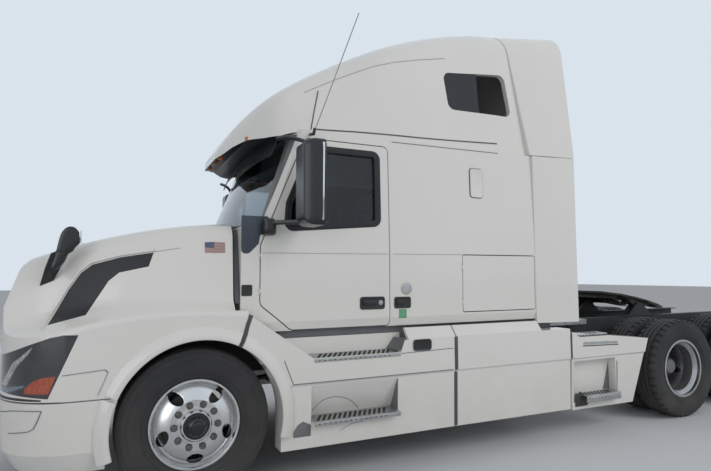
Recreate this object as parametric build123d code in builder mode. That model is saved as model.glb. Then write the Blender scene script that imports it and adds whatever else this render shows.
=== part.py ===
"""Road tractor with a high-roof sleeper cab, a tilting bonnet and two driven rear axles.

Units are millimetres. X points forward, Y to the driver's left and Z up. The origin is on the
ground under the middle of the overall length. Lengthwise places are given as stations, which
are distances behind the front axle.
"""

import math
import os

from build123d import *

os.makedirs("parts", exist_ok=True)

# Overall layout
overall_length = 8560.0
bumper_to_axle = 1260.0
wheelbase = 5690.0
tandem_spacing = 1320.0
front_x = overall_length / 2
axle_x = front_x - bumper_to_axle
rear_x = -overall_length / 2
rear_station = overall_length - bumper_to_axle
running_gap = 0.3
panel_gap = 8.0

# Tyres and wheels
tyre_radius = 510.0
tyre_width = 280.0
tread_drop = 14.0
tyre_bead_radius = 290.0
rim_flange_radius = 302.0
rim_half_width = 118.0
rim_wall = 10.0
rim_well_radius = 255.0
front_track_half = 1030.0
twin_spacing = 340.0
drive_outer_centre = 1105.0
disc_thickness = 18.0
hub_radius = 105.0
stud_circle_radius = 142.9
stud_count = 10
nut_radius = 17.0
nut_height = 30.0
hand_hole_circle_radius = 203.0
hand_hole_count = 5
drum_radius = 215.0
spindle_radius = 42.0
bore_gap = 1.0

# Frame
rail_top = 1000.0
rail_depth = 266.0
rail_outer = 432.0
rail_flange = 88.0
rail_wall = 9.0
rail_front_station = -960.0
crossmember_depth = 180.0
crossmember_length = 120.0

# Front axle and steering
kingpin_y = 870.0
kingpin_radius = 24.0
steer_arm_back = 225.0
steer_arm_in = 0.0
tie_rod_z = 395.0
tie_rod_radius = 22.0
spring_y = 440.0
spring_width = 90.0
spring_half_length = 720.0

# Rear suspension
arm_front = 450.0
arm_back = 430.0
air_spring_radius = 120.0

# Cab and sleeper body
cab_wall = 60.0
glass_thickness = 8.0
cab_floor_z = 1100.0
cowl_z = 1870.0
cab_top_z = 2650.0
cab_half = 1120.0
cab_top_half = 1095.0
cab_front_station = 300.0
windshield_base_station = 235.0
windshield_top_station = 640.0
pillar_base_station = 455.0
pillar_top_station = 725.0
sleeper_rear_station = 3400.0
door_front_station = 436.0
door_rear_station = 1518.0
door_top_z = 2575.0
door_bottom_z = 1108.0
hinge_radius = 5.0
hinge_inset = 6.0
hinge_reach = 10.0
hinge_pocket = 9.0
knuckle_height = 20.0

# Luggage doors
luggage_front_station = 2250.0
luggage_rear_station = 3078.0
luggage_top_z = 1688.0
luggage_wall = 40.0

# Roof cap
roof_wall = 40.0
roof_front_station = 255.0

# Side extenders behind the sleeper
extender_wall = 28.0
extender_rear_station = 3560.0
extender_rear_half = 1185.0

# Fenders, skirts and bumper
fender_half = 1210.0
skirt_wall = 25.0
hood_wall = 28.0
arch_station = 28.0
arch_z = 520.0
arch_radius = 560.0
seam_z = 752.0
seam_gap = 10.0
bumper_wall = 30.0
bumper_bottom_z = 300.0

# Fuel tanks
tank_radius = 290.0
tank_y = 800.0
tank_z = 610.0
tank_front_station = 2180.0
tank_rear_station = 3330.0

# Fifth wheel
fifth_wheel_station = 5430.0
fifth_wheel_top_z = 1215.0
fifth_wheel_pivot_z = 1130.0
fifth_wheel_half = 455.0
fifth_wheel_tilt = 12.0

drive_stations = [wheelbase - tandem_spacing / 2, wheelbase + tandem_spacing / 2]
drive_inner_centre = drive_outer_centre - twin_spacing
rail_bottom = rail_top - rail_depth
disc_offset = twin_spacing / 2


def at(station):
    """Lengthwise coordinate of a station behind the front axle."""
    return axle_x - station


def side_points(points):
    """Turns (station, height) pairs into points of a plane along the truck."""
    return [(at(station), height) for station, height in points]


def side_plane(y):
    """Plane along the truck: its x runs forward, its y up, and its normal to the right."""
    return Plane(origin=(0, y, 0), x_dir=(1, 0, 0), z_dir=(0, -1, 0))


def cross_plane(station):
    """Plane across the truck: its x runs to the left, its y up, and its normal forward."""
    return Plane(origin=(at(station), 0, 0), x_dir=(0, 1, 0), z_dir=(1, 0, 0))


def wheel_plane(station):
    """Half plane of a wheel: its x is the radius and its y runs to the left along the axle."""
    return Plane(origin=(at(station), 0, tyre_radius), x_dir=(1, 0, 0), z_dir=(0, 0, 1))


def axle_line(station):
    """Line that a wheel at this station turns about."""
    return Axis((at(station), 0, tyre_radius), (0, 1, 0))


def save(piece, name):
    """Labels a finished piece and writes it under its node name."""
    piece.part.label = name
    export_step(piece.part, f"parts/{name}.step")


def block(station_front, station_rear, y_low, y_high, z_low, z_high, mode=Mode.ADD):
    """Adds a plain block between two stations, two widths and two heights."""
    with Locations(
        (
            (at(station_front) + at(station_rear)) / 2,
            (y_low + y_high) / 2,
            (z_low + z_high) / 2,
        )
    ):
        Box(station_rear - station_front, y_high - y_low, z_high - z_low, mode=mode)


# Wheels


def tyre(centre_y, station):
    """Adds one tyre to the piece being built."""
    half = tyre_width / 2
    tread_half = half - tread_drop
    bead = rim_half_width - rim_wall
    bead_top = rim_flange_radius + running_gap
    shoulder = tyre_radius - tread_drop
    mid_wall = (tyre_bead_radius + tyre_radius) / 2
    crown_half = tread_half - 2 * tread_drop
    with BuildSketch(wheel_plane(station)) as section:
        with BuildLine():
            Polyline(
                (bead_top, centre_y - bead),
                (tyre_bead_radius, centre_y - bead),
                (tyre_bead_radius, centre_y + bead),
                (bead_top, centre_y + bead),
            )
            ThreePointArc(
                (bead_top, centre_y + bead),
                (mid_wall, centre_y + half),
                (shoulder, centre_y + tread_half),
            )
            Line((shoulder, centre_y + tread_half), (tyre_radius, centre_y + crown_half))
            Line((tyre_radius, centre_y + crown_half), (tyre_radius, centre_y - crown_half))
            Line((tyre_radius, centre_y - crown_half), (shoulder, centre_y - tread_half))
            ThreePointArc(
                (shoulder, centre_y - tread_half),
                (mid_wall, centre_y - half),
                (bead_top, centre_y - bead),
            )
        make_face()
    revolve(section.sketch, axis=axle_line(station))


def rim(centre_y, out, station):
    """Adds one disc wheel. Its disc bulges towards +Y where out is 1 and towards -Y where it is -1."""
    edge = rim_half_width
    seat = tyre_bead_radius - running_gap
    inner = seat - rim_wall
    well = rim_well_radius
    # The barrel, from the inner flange to the outer one and back along its inside
    barrel = [
        (rim_flange_radius, -edge),
        (rim_flange_radius, -edge + rim_wall - 1),
        (seat, -edge + rim_wall - 1),
        (seat, -edge + 3 * rim_wall),
        (well, -edge + 6 * rim_wall),
        (well, edge - 6 * rim_wall),
        (seat, edge - 3 * rim_wall),
        (seat, edge - rim_wall + 1),
        (rim_flange_radius, edge - rim_wall + 1),
        (rim_flange_radius, edge),
        (inner, edge),
        (inner, edge - 3 * rim_wall),
        (well - rim_wall, edge - 6 * rim_wall),
        (well - rim_wall, -edge + 6 * rim_wall),
        (inner, -edge + 3 * rim_wall),
        (inner, -edge),
    ]
    # The disc, from the barrel out to its flat middle
    disc = [
        (well - 1, 40),
        (well - rim_wall, 40 + disc_thickness),
        (hand_hole_circle_radius - 10, disc_offset - 6),
        (stud_circle_radius + 30, disc_offset),
        (hub_radius, disc_offset),
        (hub_radius, disc_offset - disc_thickness),
        (stud_circle_radius + 26, disc_offset - disc_thickness),
        (hand_hole_circle_radius - 20, disc_offset - disc_thickness - 6),
        (well - 2 * rim_wall, 40),
    ]
    for outline in (barrel, disc):
        with BuildSketch(wheel_plane(station)) as section:
            with BuildLine():
                Polyline(*[(r, centre_y + out * y) for r, y in outline], close=True)
            make_face()
        revolve(section.sketch, axis=axle_line(station))
    hole_plane = Plane(
        origin=(at(station), centre_y, tyre_radius), x_dir=(1, 0, 0), z_dir=(0, 1, 0)
    )
    with BuildSketch(hole_plane) as holes:
        with PolarLocations(hand_hole_circle_radius, hand_hole_count, start_angle=18):
            Ellipse(24, 33)
    extrude(holes.sketch, amount=out * (disc_offset + disc_thickness), mode=Mode.SUBTRACT)


def nuts(face_y, out, station):
    """Adds the ring of wheel nuts that stand on a disc face."""
    nut_plane = Plane(
        origin=(at(station), face_y - out, tyre_radius), x_dir=(1, 0, 0), z_dir=(0, 1, 0)
    )
    with BuildSketch(nut_plane) as hexagons:
        with PolarLocations(stud_circle_radius, stud_count):
            RegularPolygon(nut_radius, 6)
    extrude(hexagons.sketch, amount=out * (nut_height + 1))


def turned(outline, station):
    """Adds a turned piece from its (radius, y) outline."""
    with BuildSketch(wheel_plane(station)) as section:
        with BuildLine():
            Polyline(*outline, close=True)
        make_face()
    revolve(section.sketch, axis=axle_line(station))


def front_wheel(side):
    """One steered wheel: its disc bulges outwards, and the hub carries a bearing cap."""
    face = side * (front_track_half + disc_offset)
    inner = side * (front_track_half - rim_half_width + 2)
    with BuildPart() as wheel:
        rim(side * front_track_half, side, 0)
        nuts(face, side, 0)
        turned(
            [
                (0, face + side * 62),
                (48, face + side * 62),
                (58, face + side * 50),
                (62, face + side * 6),
                (hub_radius, face + side * 6),
                (hub_radius + 1, face - side * disc_thickness),
                (stud_circle_radius + 24, face - side * disc_thickness),
                (stud_circle_radius + 24, face - side * (disc_thickness + 24)),
                (120, face - side * (disc_thickness + 24)),
                (drum_radius, face - side * (disc_thickness + 90)),
                (drum_radius, inner),
                (drum_radius - 14, inner),
                (drum_radius - 14, face - side * (disc_thickness + 104)),
                (90, face - side * (disc_thickness + 40)),
                (90, face - side * (disc_thickness + 70)),
                (spindle_radius + bore_gap, face - side * (disc_thickness + 70)),
                (spindle_radius + bore_gap, face),
                (0, face),
            ],
            0,
        )
    return wheel


def drive_wheels(side, station):
    """Twin wheels on one hub: the outer disc bulges inwards and meets the inner one."""
    joint = side * (drive_outer_centre - disc_offset)
    inner = side * (drive_inner_centre - rim_half_width + 2)
    with BuildPart() as wheels:
        rim(side * drive_outer_centre, -side, station)
        rim(side * drive_inner_centre, side, station)
        nuts(joint + side * disc_thickness, side, station)
        turned(
            [
                (0, joint + side * 150),
                (70, joint + side * 150),
                (88, joint + side * 130),
                (hub_radius - 8, joint + side * 40),
                (hub_radius + 1, joint + side * disc_thickness),
                (hub_radius + 1, joint - side * disc_thickness),
                (stud_circle_radius + 24, joint - side * disc_thickness),
                (stud_circle_radius + 24, joint - side * (disc_thickness + 24)),
                (150, joint - side * (disc_thickness + 24)),
                (drum_radius, joint - side * (disc_thickness + 80)),
                (drum_radius, inner),
                (drum_radius - 14, inner),
                (drum_radius - 14, joint - side * (disc_thickness + 94)),
                (112, joint - side * (disc_thickness + 40)),
                (spindle_radius + bore_gap, joint - side * (disc_thickness + 40)),
                (spindle_radius + bore_gap, joint + side * 100),
                (0, joint + side * 100),
            ],
            station,
        )
    return wheels


for side, hand in ((1, "left"), (-1, "right")):
    with BuildPart() as steer_tyre:
        tyre(side * front_track_half, 0)
    save(steer_tyre, f"front_tyre_{hand}")
    save(front_wheel(side), f"front_wheel_{hand}")
    for number, station in enumerate(drive_stations, 1):
        with BuildPart() as twin_tyres:
            tyre(side * drive_outer_centre, station)
            tyre(side * drive_inner_centre, station)
        save(twin_tyres, f"drive_tyres_{number}_{hand}")
        save(drive_wheels(side, station), f"drive_wheels_{number}_{hand}")


# Chassis

rail_in = rail_outer - rail_flange
engine_front_station = -640.0
engine_rear_station = 270.0
engine_half = 320.0
engine_bottom_z = 640.0
engine_top_z = 1560.0
gearbox_rear_station = 1150.0
gearbox_half = 230.0
gearbox_top_z = 1040.0
radiator_front_station = -800.0
radiator_depth = 110.0
radiator_half = 420.0
radiator_top_z = 1450.0
crossmember_stations = [-900, 1500, 2300, 3300, 4200, wheelbase, 6900]
cab_mount_stations = [470.0, 1400.0, 3250.0]


def rail_outline(side):
    """C section of a frame rail, its back outwards."""
    web = side * rail_outer
    tip = side * rail_in
    skin = side * rail_wall
    return [
        (web, rail_bottom),
        (web, rail_top),
        (tip, rail_top),
        (tip, rail_top - rail_wall),
        (web - skin, rail_top - rail_wall),
        (web - skin, rail_bottom + rail_wall),
        (tip, rail_bottom + rail_wall),
        (tip, rail_bottom),
    ]


with BuildPart() as frame_rails:
    for side in (1, -1):
        with BuildSketch(cross_plane(rail_front_station)):
            with BuildLine():
                Polyline(*rail_outline(side), close=True)
            make_face()
        extrude(amount=-(rear_station - rail_front_station))
save(frame_rails, "frame_rails")

with BuildPart() as crossmembers:
    for station in crossmember_stations:
        block(
            station - crossmember_length / 2,
            station + crossmember_length / 2,
            -(rail_outer - rail_wall),
            rail_outer - rail_wall,
            rail_bottom + rail_wall,
            rail_bottom + rail_wall + crossmember_depth,
        )
        block(
            station - crossmember_length / 2 + rail_wall,
            station + crossmember_length / 2,
            -(rail_outer - 3 * rail_wall),
            rail_outer - 3 * rail_wall,
            rail_bottom + 2 * rail_wall,
            rail_bottom + crossmember_depth,
            mode=Mode.SUBTRACT,
        )
    # Mounts that carry the cab on the rails
    for station in cab_mount_stations:
        for side in (1, -1):
            low, high = sorted((side * rail_in, side * rail_outer))
            block(station - 60, station + 60, low, high, rail_top, cab_floor_z)
save(crossmembers, "crossmembers")

# Engine as one plain block on four feet, with the gearbox and shafts behind it
with BuildPart() as engine:
    block(
        engine_front_station,
        engine_rear_station,
        -engine_half,
        engine_half,
        engine_bottom_z,
        engine_top_z,
    )
    for foot_front in (-480, 120):
        block(foot_front, foot_front + 120, -rail_outer + rail_wall, rail_outer - rail_wall, 800, 900)
save(engine, "engine")

shaft_radius = 48.0
diff_nose = 300.0
diff_back = 215.0
diff_half = 95.0
with BuildPart() as driveline:
    block(
        engine_rear_station,
        engine_rear_station + 220,
        -gearbox_half - 60,
        gearbox_half + 60,
        engine_bottom_z,
        gearbox_top_z,
    )
    block(
        engine_rear_station + 219,
        gearbox_rear_station,
        -gearbox_half,
        gearbox_half,
        engine_bottom_z + 30,
        gearbox_top_z - 60,
    )
    shafts = [
        (gearbox_rear_station - 1, 680.0, drive_stations[0] - diff_nose, tyre_radius + 20),
        (drive_stations[0] + diff_back, tyre_radius + 20, drive_stations[1] - diff_nose, tyre_radius + 20),
    ]
    for start, start_z, end, end_z in shafts:
        with BuildSketch(cross_plane(start)):
            with Locations((0, start_z)):
                Circle(shaft_radius)
        with BuildSketch(cross_plane(end)):
            with Locations((0, end_z)):
                Circle(shaft_radius)
        loft(ruled=True)
save(driveline, "driveline")

with BuildPart() as radiator:
    block(
        radiator_front_station,
        radiator_front_station + radiator_depth,
        -radiator_half,
        radiator_half,
        rail_top,
        radiator_top_z,
    )
    block(
        radiator_front_station,
        radiator_front_station + radiator_depth,
        -(rail_in - panel_gap),
        rail_in - panel_gap,
        engine_bottom_z,
        rail_top + 1,
    )
save(radiator, "radiator")

# Front axle: an I beam that drops between the springs and rises to the kingpins
beam_half_depth = 50.0
beam_drop_z = 455.0
spring_seat_z = 590.0
yoke_bottom_z = 440.0
yoke_top_z = 580.0
yoke_radius = 46.0
kingpin_reach = 42.0
with BuildPart() as front_axle:
    with BuildSketch(cross_plane(0)):
        with BuildLine():
            Polyline(
                (-kingpin_y, yoke_bottom_z),
                (-kingpin_y + 90, yoke_bottom_z),
                (-spring_y - 60, beam_drop_z),
                (-spring_y + 120, beam_drop_z - 55),
                (spring_y - 120, beam_drop_z - 55),
                (spring_y + 60, beam_drop_z),
                (kingpin_y - 90, yoke_bottom_z),
                (kingpin_y, yoke_bottom_z),
                (kingpin_y, yoke_top_z),
                (kingpin_y - 80, yoke_top_z),
                (spring_y + 60, spring_seat_z - 30),
                (spring_y + 45, spring_seat_z),
                (spring_y - 45, spring_seat_z),
                (spring_y - 120, beam_drop_z + 60),
                (-spring_y + 120, beam_drop_z + 60),
                (-spring_y + 45, spring_seat_z),
                (-spring_y - 45, spring_seat_z),
                (-spring_y - 60, spring_seat_z - 30),
                (-kingpin_y + 80, yoke_top_z),
                (-kingpin_y, yoke_top_z),
                close=True,
            )
        make_face()
    extrude(amount=beam_half_depth, both=True)
    # Web recesses that give the beam its I section
    for out in (1, -1):
        with BuildSketch(cross_plane(-out * beam_half_depth)):
            with BuildLine():
                Polyline(
                    (-spring_y + 110, beam_drop_z - 30),
                    (spring_y - 110, beam_drop_z - 30),
                    (spring_y - 125, beam_drop_z + 36),
                    (-spring_y + 125, beam_drop_z + 36),
                    close=True,
                )
            make_face()
        extrude(amount=-out * 32, mode=Mode.SUBTRACT)
    for side in (1, -1):
        with Locations((at(0), side * kingpin_y, (yoke_bottom_z + yoke_top_z) / 2)):
            Cylinder(yoke_radius, yoke_top_z - yoke_bottom_z)
            Cylinder(kingpin_radius, yoke_top_z - yoke_bottom_z + 2 * kingpin_reach)
save(front_axle, "front_axle")

# Front leaf springs with their hangers under the rails
spring_end_z = rail_bottom - 66
spring_leaf = 22.0
with BuildPart() as front_springs:
    for side in (1, -1):
        with BuildSketch(side_plane(side * spring_y)) as leaves:
            with BuildLine():
                ThreePointArc(
                    (at(-spring_half_length), spring_end_z),
                    (at(0), spring_seat_z + 2 * spring_leaf),
                    (at(spring_half_length), spring_end_z),
                )
                Polyline(
                    (at(spring_half_length), spring_end_z),
                    (at(spring_half_length), spring_end_z - spring_leaf),
                    (at(beam_half_depth + 40), spring_seat_z),
                    (at(-beam_half_depth - 40), spring_seat_z),
                    (at(-spring_half_length), spring_end_z - spring_leaf),
                    (at(-spring_half_length), spring_end_z),
                )
            make_face()
        extrude(leaves.sketch, amount=spring_width / 2, both=True)
        for station in (-spring_half_length, spring_half_length):
            block(
                station - 35,
                station + 35,
                side * spring_y - spring_width / 2,
                side * spring_y + spring_width / 2,
                spring_end_z - spring_leaf - 24,
                rail_bottom,
            )
save(front_springs, "front_springs")

# Steering knuckles: a fork round the kingpin, a spindle and an arm back to the tie rod
fork_radius = 52.0
fork_low_z = yoke_bottom_z - kingpin_reach - 14
fork_high_z = yoke_top_z + kingpin_reach + 14
web_in = kingpin_y + yoke_radius + 9
hub_face = front_track_half + disc_offset
arm_z_low = fork_low_z
arm_z_high = fork_low_z + 36
tie_pin_radius = 14.0
tie_pin_y = kingpin_y - steer_arm_in
tie_pin_station = steer_arm_back
for side, hand in ((1, "left"), (-1, "right")):
    with BuildPart() as knuckle:
        for low, high in (
            (fork_low_z, yoke_bottom_z - running_gap),
            (yoke_top_z + running_gap, fork_high_z),
        ):
            with Locations((at(0), side * kingpin_y, (low + high) / 2)):
                Cylinder(fork_radius, high - low)
            block(
                -fork_radius,
                fork_radius,
                min(side * kingpin_y, side * (web_in + 10)),
                max(side * kingpin_y, side * (web_in + 10)),
                low,
                high,
            )
        block(
            -fork_radius,
            fork_radius,
            min(side * web_in, side * (web_in + 40)),
            max(side * web_in, side * (web_in + 40)),
            fork_low_z,
            fork_high_z,
        )
        with BuildSketch(Plane(origin=(at(0), side * (web_in + 30), tyre_radius), z_dir=(0, side, 0))):
            Circle(spindle_radius)
        extrude(amount=hub_face - running_gap - web_in - 30)
        # Steering arm
        with BuildSketch(Plane.XY.offset(arm_z_low)) as arm:
            with BuildLine():
                Polyline(
                    (at(-20), side * (kingpin_y - 44)),
                    (at(-20), side * (kingpin_y + 44)),
                    (at(60), side * (kingpin_y + 36)),
                    (at(tie_pin_station + 26), side * (tie_pin_y + 26)),
                    (at(tie_pin_station + 26), side * (tie_pin_y - 26)),
                    (at(tie_pin_station - 30), side * (tie_pin_y - 26)),
                    close=True,
                )
            make_face()
        extrude(arm.sketch, amount=arm_z_high - arm_z_low)
        with Locations((at(0), side * kingpin_y, tyre_radius)):
            Cylinder(
                kingpin_radius + bore_gap,
                yoke_top_z - yoke_bottom_z + 2 * kingpin_reach + running_gap,
                mode=Mode.SUBTRACT,
            )
        # Ball pin under the arm
        with Locations((at(tie_pin_station), side * tie_pin_y, arm_z_low - 30)):
            Cylinder(tie_pin_radius, 62)
    save(knuckle, f"knuckle_{hand}")

rod_eye_radius = 34.0
rod_z_high = arm_z_low - 6
with BuildPart() as tie_rod:
    with BuildSketch(Plane(origin=(at(tie_pin_station), -tie_pin_y, rod_z_high - tie_rod_radius), z_dir=(0, 1, 0))):
        Circle(tie_rod_radius - 2)
    extrude(amount=2 * tie_pin_y)
    for side in (1, -1):
        with Locations((at(tie_pin_station), side * tie_pin_y, rod_z_high - tie_rod_radius)):
            Cylinder(rod_eye_radius, 2 * tie_rod_radius)
            Cylinder(tie_pin_radius + running_gap, 60, mode=Mode.SUBTRACT)
save(tie_rod, "tie_rod")

# Driven axles with their casings, noses and spring seats
axle_tube_radius = 68.0
arm_y = rail_outer - rail_flange / 2
arm_half = 42.0
arm_top_z = 424.0
drive_hub_face = drive_outer_centre - disc_offset
with BuildPart() as drive_axles:
    for number, station in enumerate(drive_stations, 1):
        turned(
            [
                (0, -(drive_hub_face + 100 - running_gap)),
                (spindle_radius, -(drive_hub_face + 100 - running_gap)),
                (spindle_radius, -(drive_hub_face - disc_thickness - 50)),
                (axle_tube_radius, -(drive_hub_face - disc_thickness - 50)),
                (axle_tube_radius, -260),
                (diff_back - 15, -diff_half),
                (diff_back - 15, diff_half),
                (axle_tube_radius, 260),
                (axle_tube_radius, drive_hub_face - disc_thickness - 50),
                (spindle_radius, drive_hub_face - disc_thickness - 50),
                (spindle_radius, drive_hub_face + 100 - running_gap),
                (0, drive_hub_face + 100 - running_gap),
            ],
            station,
        )
        # Pinion nose ahead and, on the first axle, the outlet behind
        with BuildSketch(cross_plane(station)) as nose:
            with Locations((0, tyre_radius + 20)):
                Circle(92)
        extrude(nose.sketch, amount=diff_nose)
        if number == 1:
            extrude(nose.sketch, amount=-diff_back)
        for side in (1, -1):
            block(
                station - 70,
                station + 70,
                side * arm_y - arm_half,
                side * arm_y + arm_half,
                arm_top_z,
                tyre_radius,
            )
save(drive_axles, "drive_axles")

# Trailing arms, their hangers and the air springs over their rear ends
arm_low_z = 366.0
with BuildPart() as rear_suspension:
    for station in drive_stations:
        for side in (1, -1):
            with BuildSketch(side_plane(side * arm_y)) as trailing_arm:
                with BuildLine():
                    Polyline(
                        *side_points(
                            [
                                (station - arm_front - 60, rail_bottom),
                                (station - arm_front + 60, rail_bottom),
                                (station - arm_front + 40, arm_top_z + 30),
                                (station - 70, arm_top_z),
                                (station + arm_back, arm_top_z),
                                (station + arm_back, arm_low_z + 20),
                                (station, arm_low_z),
                                (station - arm_front - 30, arm_low_z + 20),
                            ]
                        ),
                        close=True,
                    )
                make_face()
            extrude(trailing_arm.sketch, amount=arm_half, both=True)
            with Locations(
                (
                    at(station + arm_back - air_spring_radius),
                    side * arm_y,
                    (arm_top_z + rail_bottom) / 2,
                )
            ):
                Cylinder(air_spring_radius, rail_bottom - arm_top_z)
save(rear_suspension, "rear_suspension")


# Cab and sleeper body

# Half widths of the body's cross section: (half width, height)
body_section = [
    (cab_half - 26, cab_floor_z),
    (cab_half - 4, cab_floor_z + 70),
    (cab_half, 1690.0),
    (cab_half - 4, cowl_z),
    (cab_top_half, cab_top_z),
]
# Windshield surface by height: (height, middle station, pillar station, pillar half width)
windshield_rows = [
    (cowl_z, windshield_base_station + 60, pillar_base_station, 1072.0),
    (cab_top_z, windshield_top_station, pillar_top_station, 1010.0),
]


def body_prism(inset, station_front, station_rear, z_low, z_high):
    """Body cross section drawn out between two stations, taken in by a wall all round."""
    rows = [(half - inset, height) for half, height in body_section]
    outline = rows + [(-half, height) for half, height in reversed(rows)]
    with BuildPart() as prism:
        with BuildSketch(cross_plane(station_front)) as section:
            with BuildLine():
                Polyline(*outline, close=True)
            make_face()
        extrude(section.sketch, amount=-(station_rear - station_front))
        block(station_front - 1, station_rear + 1, -1500, 1500, z_low - 2000, z_low, Mode.SUBTRACT)
        block(station_front - 1, station_rear + 1, -1500, 1500, z_high, z_high + 2000, Mode.SUBTRACT)
    return prism.part


def windshield_slice(height, inset):
    """Plan outline behind the windshield surface at one height."""
    low, high = windshield_rows
    share = (height - low[0]) / (high[0] - low[0])
    middle, pillar, half = [a + (b - a) * share for a, b in zip(low[1:], high[1:])]
    middle += inset
    pillar += inset
    half -= inset / 2
    side = half + 48 + 40 * share
    with BuildSketch(Plane.XY.offset(height)) as outline:
        with BuildLine():
            ThreePointArc((at(pillar), half), (at(middle), 0), (at(pillar), -half))
            Polyline(
                (at(pillar), -half),
                (at(pillar + 55), -side),
                (at(pillar + 55), -1400),
                (at(sleeper_rear_station + 200), -1400),
                (at(sleeper_rear_station + 200), 1400),
                (at(pillar + 55), 1400),
                (at(pillar + 55), side),
                (at(pillar), half),
            )
        make_face()
    return outline.sketch


def behind_windshield(inset, height_low=cowl_z, height_high=cab_top_z):
    """Space behind the windshield surface, from the cowl up."""
    with BuildPart() as space:
        add(windshield_slice(height_low, inset))
        add(windshield_slice(height_high, inset))
        loft(ruled=True)
    return space.part


def side_prism(points, y_low, y_high):
    """Outline in side view drawn out between two widths."""
    with BuildPart() as prism:
        with BuildSketch(side_plane(y_high)) as outline:
            with BuildLine():
                Polyline(*side_points(points), close=True)
            make_face()
        extrude(outline.sketch, amount=y_high - y_low)
    return prism.part


def rounded_side_prism(points, radii, y_low, y_high, inset=0.0):
    """Outline in side view with rounded corners, drawn out between two widths."""
    with BuildPart() as prism:
        with BuildSketch(side_plane(y_high)) as outline:
            with BuildLine():
                FilletPolyline(*side_points(points), radius=radii, close=True)
            make_face()
            if inset:
                offset(amount=-inset)
        extrude(outline.sketch, amount=y_high - y_low)
    return prism.part


lower_body = body_prism(0, cab_front_station, sleeper_rear_station, cab_floor_z, cowl_z)
upper_body = body_prism(0, cab_front_station - 60, sleeper_rear_station, cowl_z, cab_top_z)
cab_outer = lower_body + (upper_body & behind_windshield(0))
lower_room = body_prism(
    cab_wall, cab_front_station + cab_wall, sleeper_rear_station - cab_wall, cab_floor_z + cab_wall, cowl_z - 1
)
upper_room = body_prism(
    cab_wall, cab_front_station - 60, sleeper_rear_station - cab_wall, cowl_z - 1, cab_top_z + 10
)
room_front = behind_windshield(cab_wall, cowl_z - 1, cab_top_z + 10)
cab_room = lower_room + (upper_room & room_front)
body_shell = cab_outer - cab_room

# Door outline: (station, height, corner radius)
door_outline = [
    (door_rear_station, door_bottom_z, 30),
    (685.0, door_bottom_z, 60),
    (door_front_station + hinge_reach, 1302.0, 60),
    (door_front_station + hinge_reach, 1735.0, 90),
    (520.0, 1910.0, 60),
    (762.0, 2500.0, 40),
    (815.0, door_top_z, 30),
    (door_rear_station, door_top_z, 45),
]
# Door window outline: (station, height, corner radius)
window_outline = [
    (1430.0, 1925.0, 60),
    (640.0, 1860.0, 60),
    (655.0, 2060.0, 60),
    (850.0, 2515.0, 50),
    (1430.0, 2515.0, 60),
]


door_points = [(station, height) for station, height, radius in door_outline]
door_radii = [radius for station, height, radius in door_outline]
window_points = [(station, height) for station, height, radius in window_outline]
window_radii = [radius for station, height, radius in window_outline]

# Windshield opening in front view: (half width, height)
windshield_opening = [(1030.0, cowl_z + 40), (950.0, 2585.0)]


def front_opening(rows, station_front, station_rear):
    """Opening in front view drawn back from one station to another."""
    with BuildPart() as opening:
        with BuildSketch(cross_plane(station_front)) as outline:
            with BuildLine():
                FilletPolyline(
                    (rows[0][0], rows[0][1]),
                    (rows[1][0], rows[1][1]),
                    (-rows[1][0], rows[1][1]),
                    (-rows[0][0], rows[0][1]),
                    radius=60,
                    close=True,
                )
            make_face()
        extrude(outline.sketch, amount=-(station_rear - station_front))
    return opening.part


windshield_hole = front_opening(windshield_opening, 200, 1000)
luggage_points = [
    (luggage_front_station, cab_floor_z + 90),
    (luggage_front_station, luggage_top_z),
    (luggage_rear_station, luggage_top_z),
    (luggage_rear_station, cab_floor_z + 90),
]
split_station = door_rear_station + panel_gap
door_hinge_heights = [1400.0, 1660.0]
luggage_hinge_heights = [1280.0, 1580.0]
hinge_y = cab_half - hinge_inset
luggage_hinge_station = luggage_front_station + panel_gap / 2 - hinge_reach


def hinge(station, side, heights, leaf):
    """Adds one leaf of a vertical hinge: -1 stands for the fixed leaf and 1 for the moving one."""
    for height in heights:
        with Locations((at(station), side * hinge_y, height)):
            Cylinder(hinge_pocket, 3 * knuckle_height + 6, mode=Mode.SUBTRACT)
        steps = [0] if leaf > 0 else [-knuckle_height, knuckle_height]
        for step in steps:
            tall = knuckle_height - 2 * running_gap if leaf > 0 else knuckle_height
            with Locations((at(station), side * hinge_y, height + step)):
                Cylinder(hinge_radius, tall)
            with Locations((at(station + leaf * 8), side * (hinge_y - 1), height + step)):
                Box(16, 8, tall)


door_in = cab_top_half - cab_wall
with BuildPart() as cab_shell:
    add(body_shell)
    block(split_station, sleeper_rear_station + 10, -1500, 1500, 1000, 3000, Mode.SUBTRACT)
    add(windshield_hole, mode=Mode.SUBTRACT)
    for side in (1, -1):
        opening = rounded_side_prism(door_points, door_radii, door_in - panel_gap, 1300, -panel_gap)
        add(opening if side > 0 else opening.mirror(Plane.XZ), mode=Mode.SUBTRACT)
        hinge(door_front_station, side, door_hinge_heights, -1)
save(cab_shell, "cab_shell")

with BuildPart() as sleeper_shell:
    add(body_shell)
    block(0, split_station, -1500, 1500, 1000, 3000, Mode.SUBTRACT)
    for side in (1, -1):
        opening = rounded_side_prism(luggage_points, 18, 980, 1300, -panel_gap / 2)
        add(opening if side > 0 else opening.mirror(Plane.XZ), mode=Mode.SUBTRACT)
        hinge(luggage_hinge_station, side, luggage_hinge_heights, -1)
save(sleeper_shell, "sleeper_shell")

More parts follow.
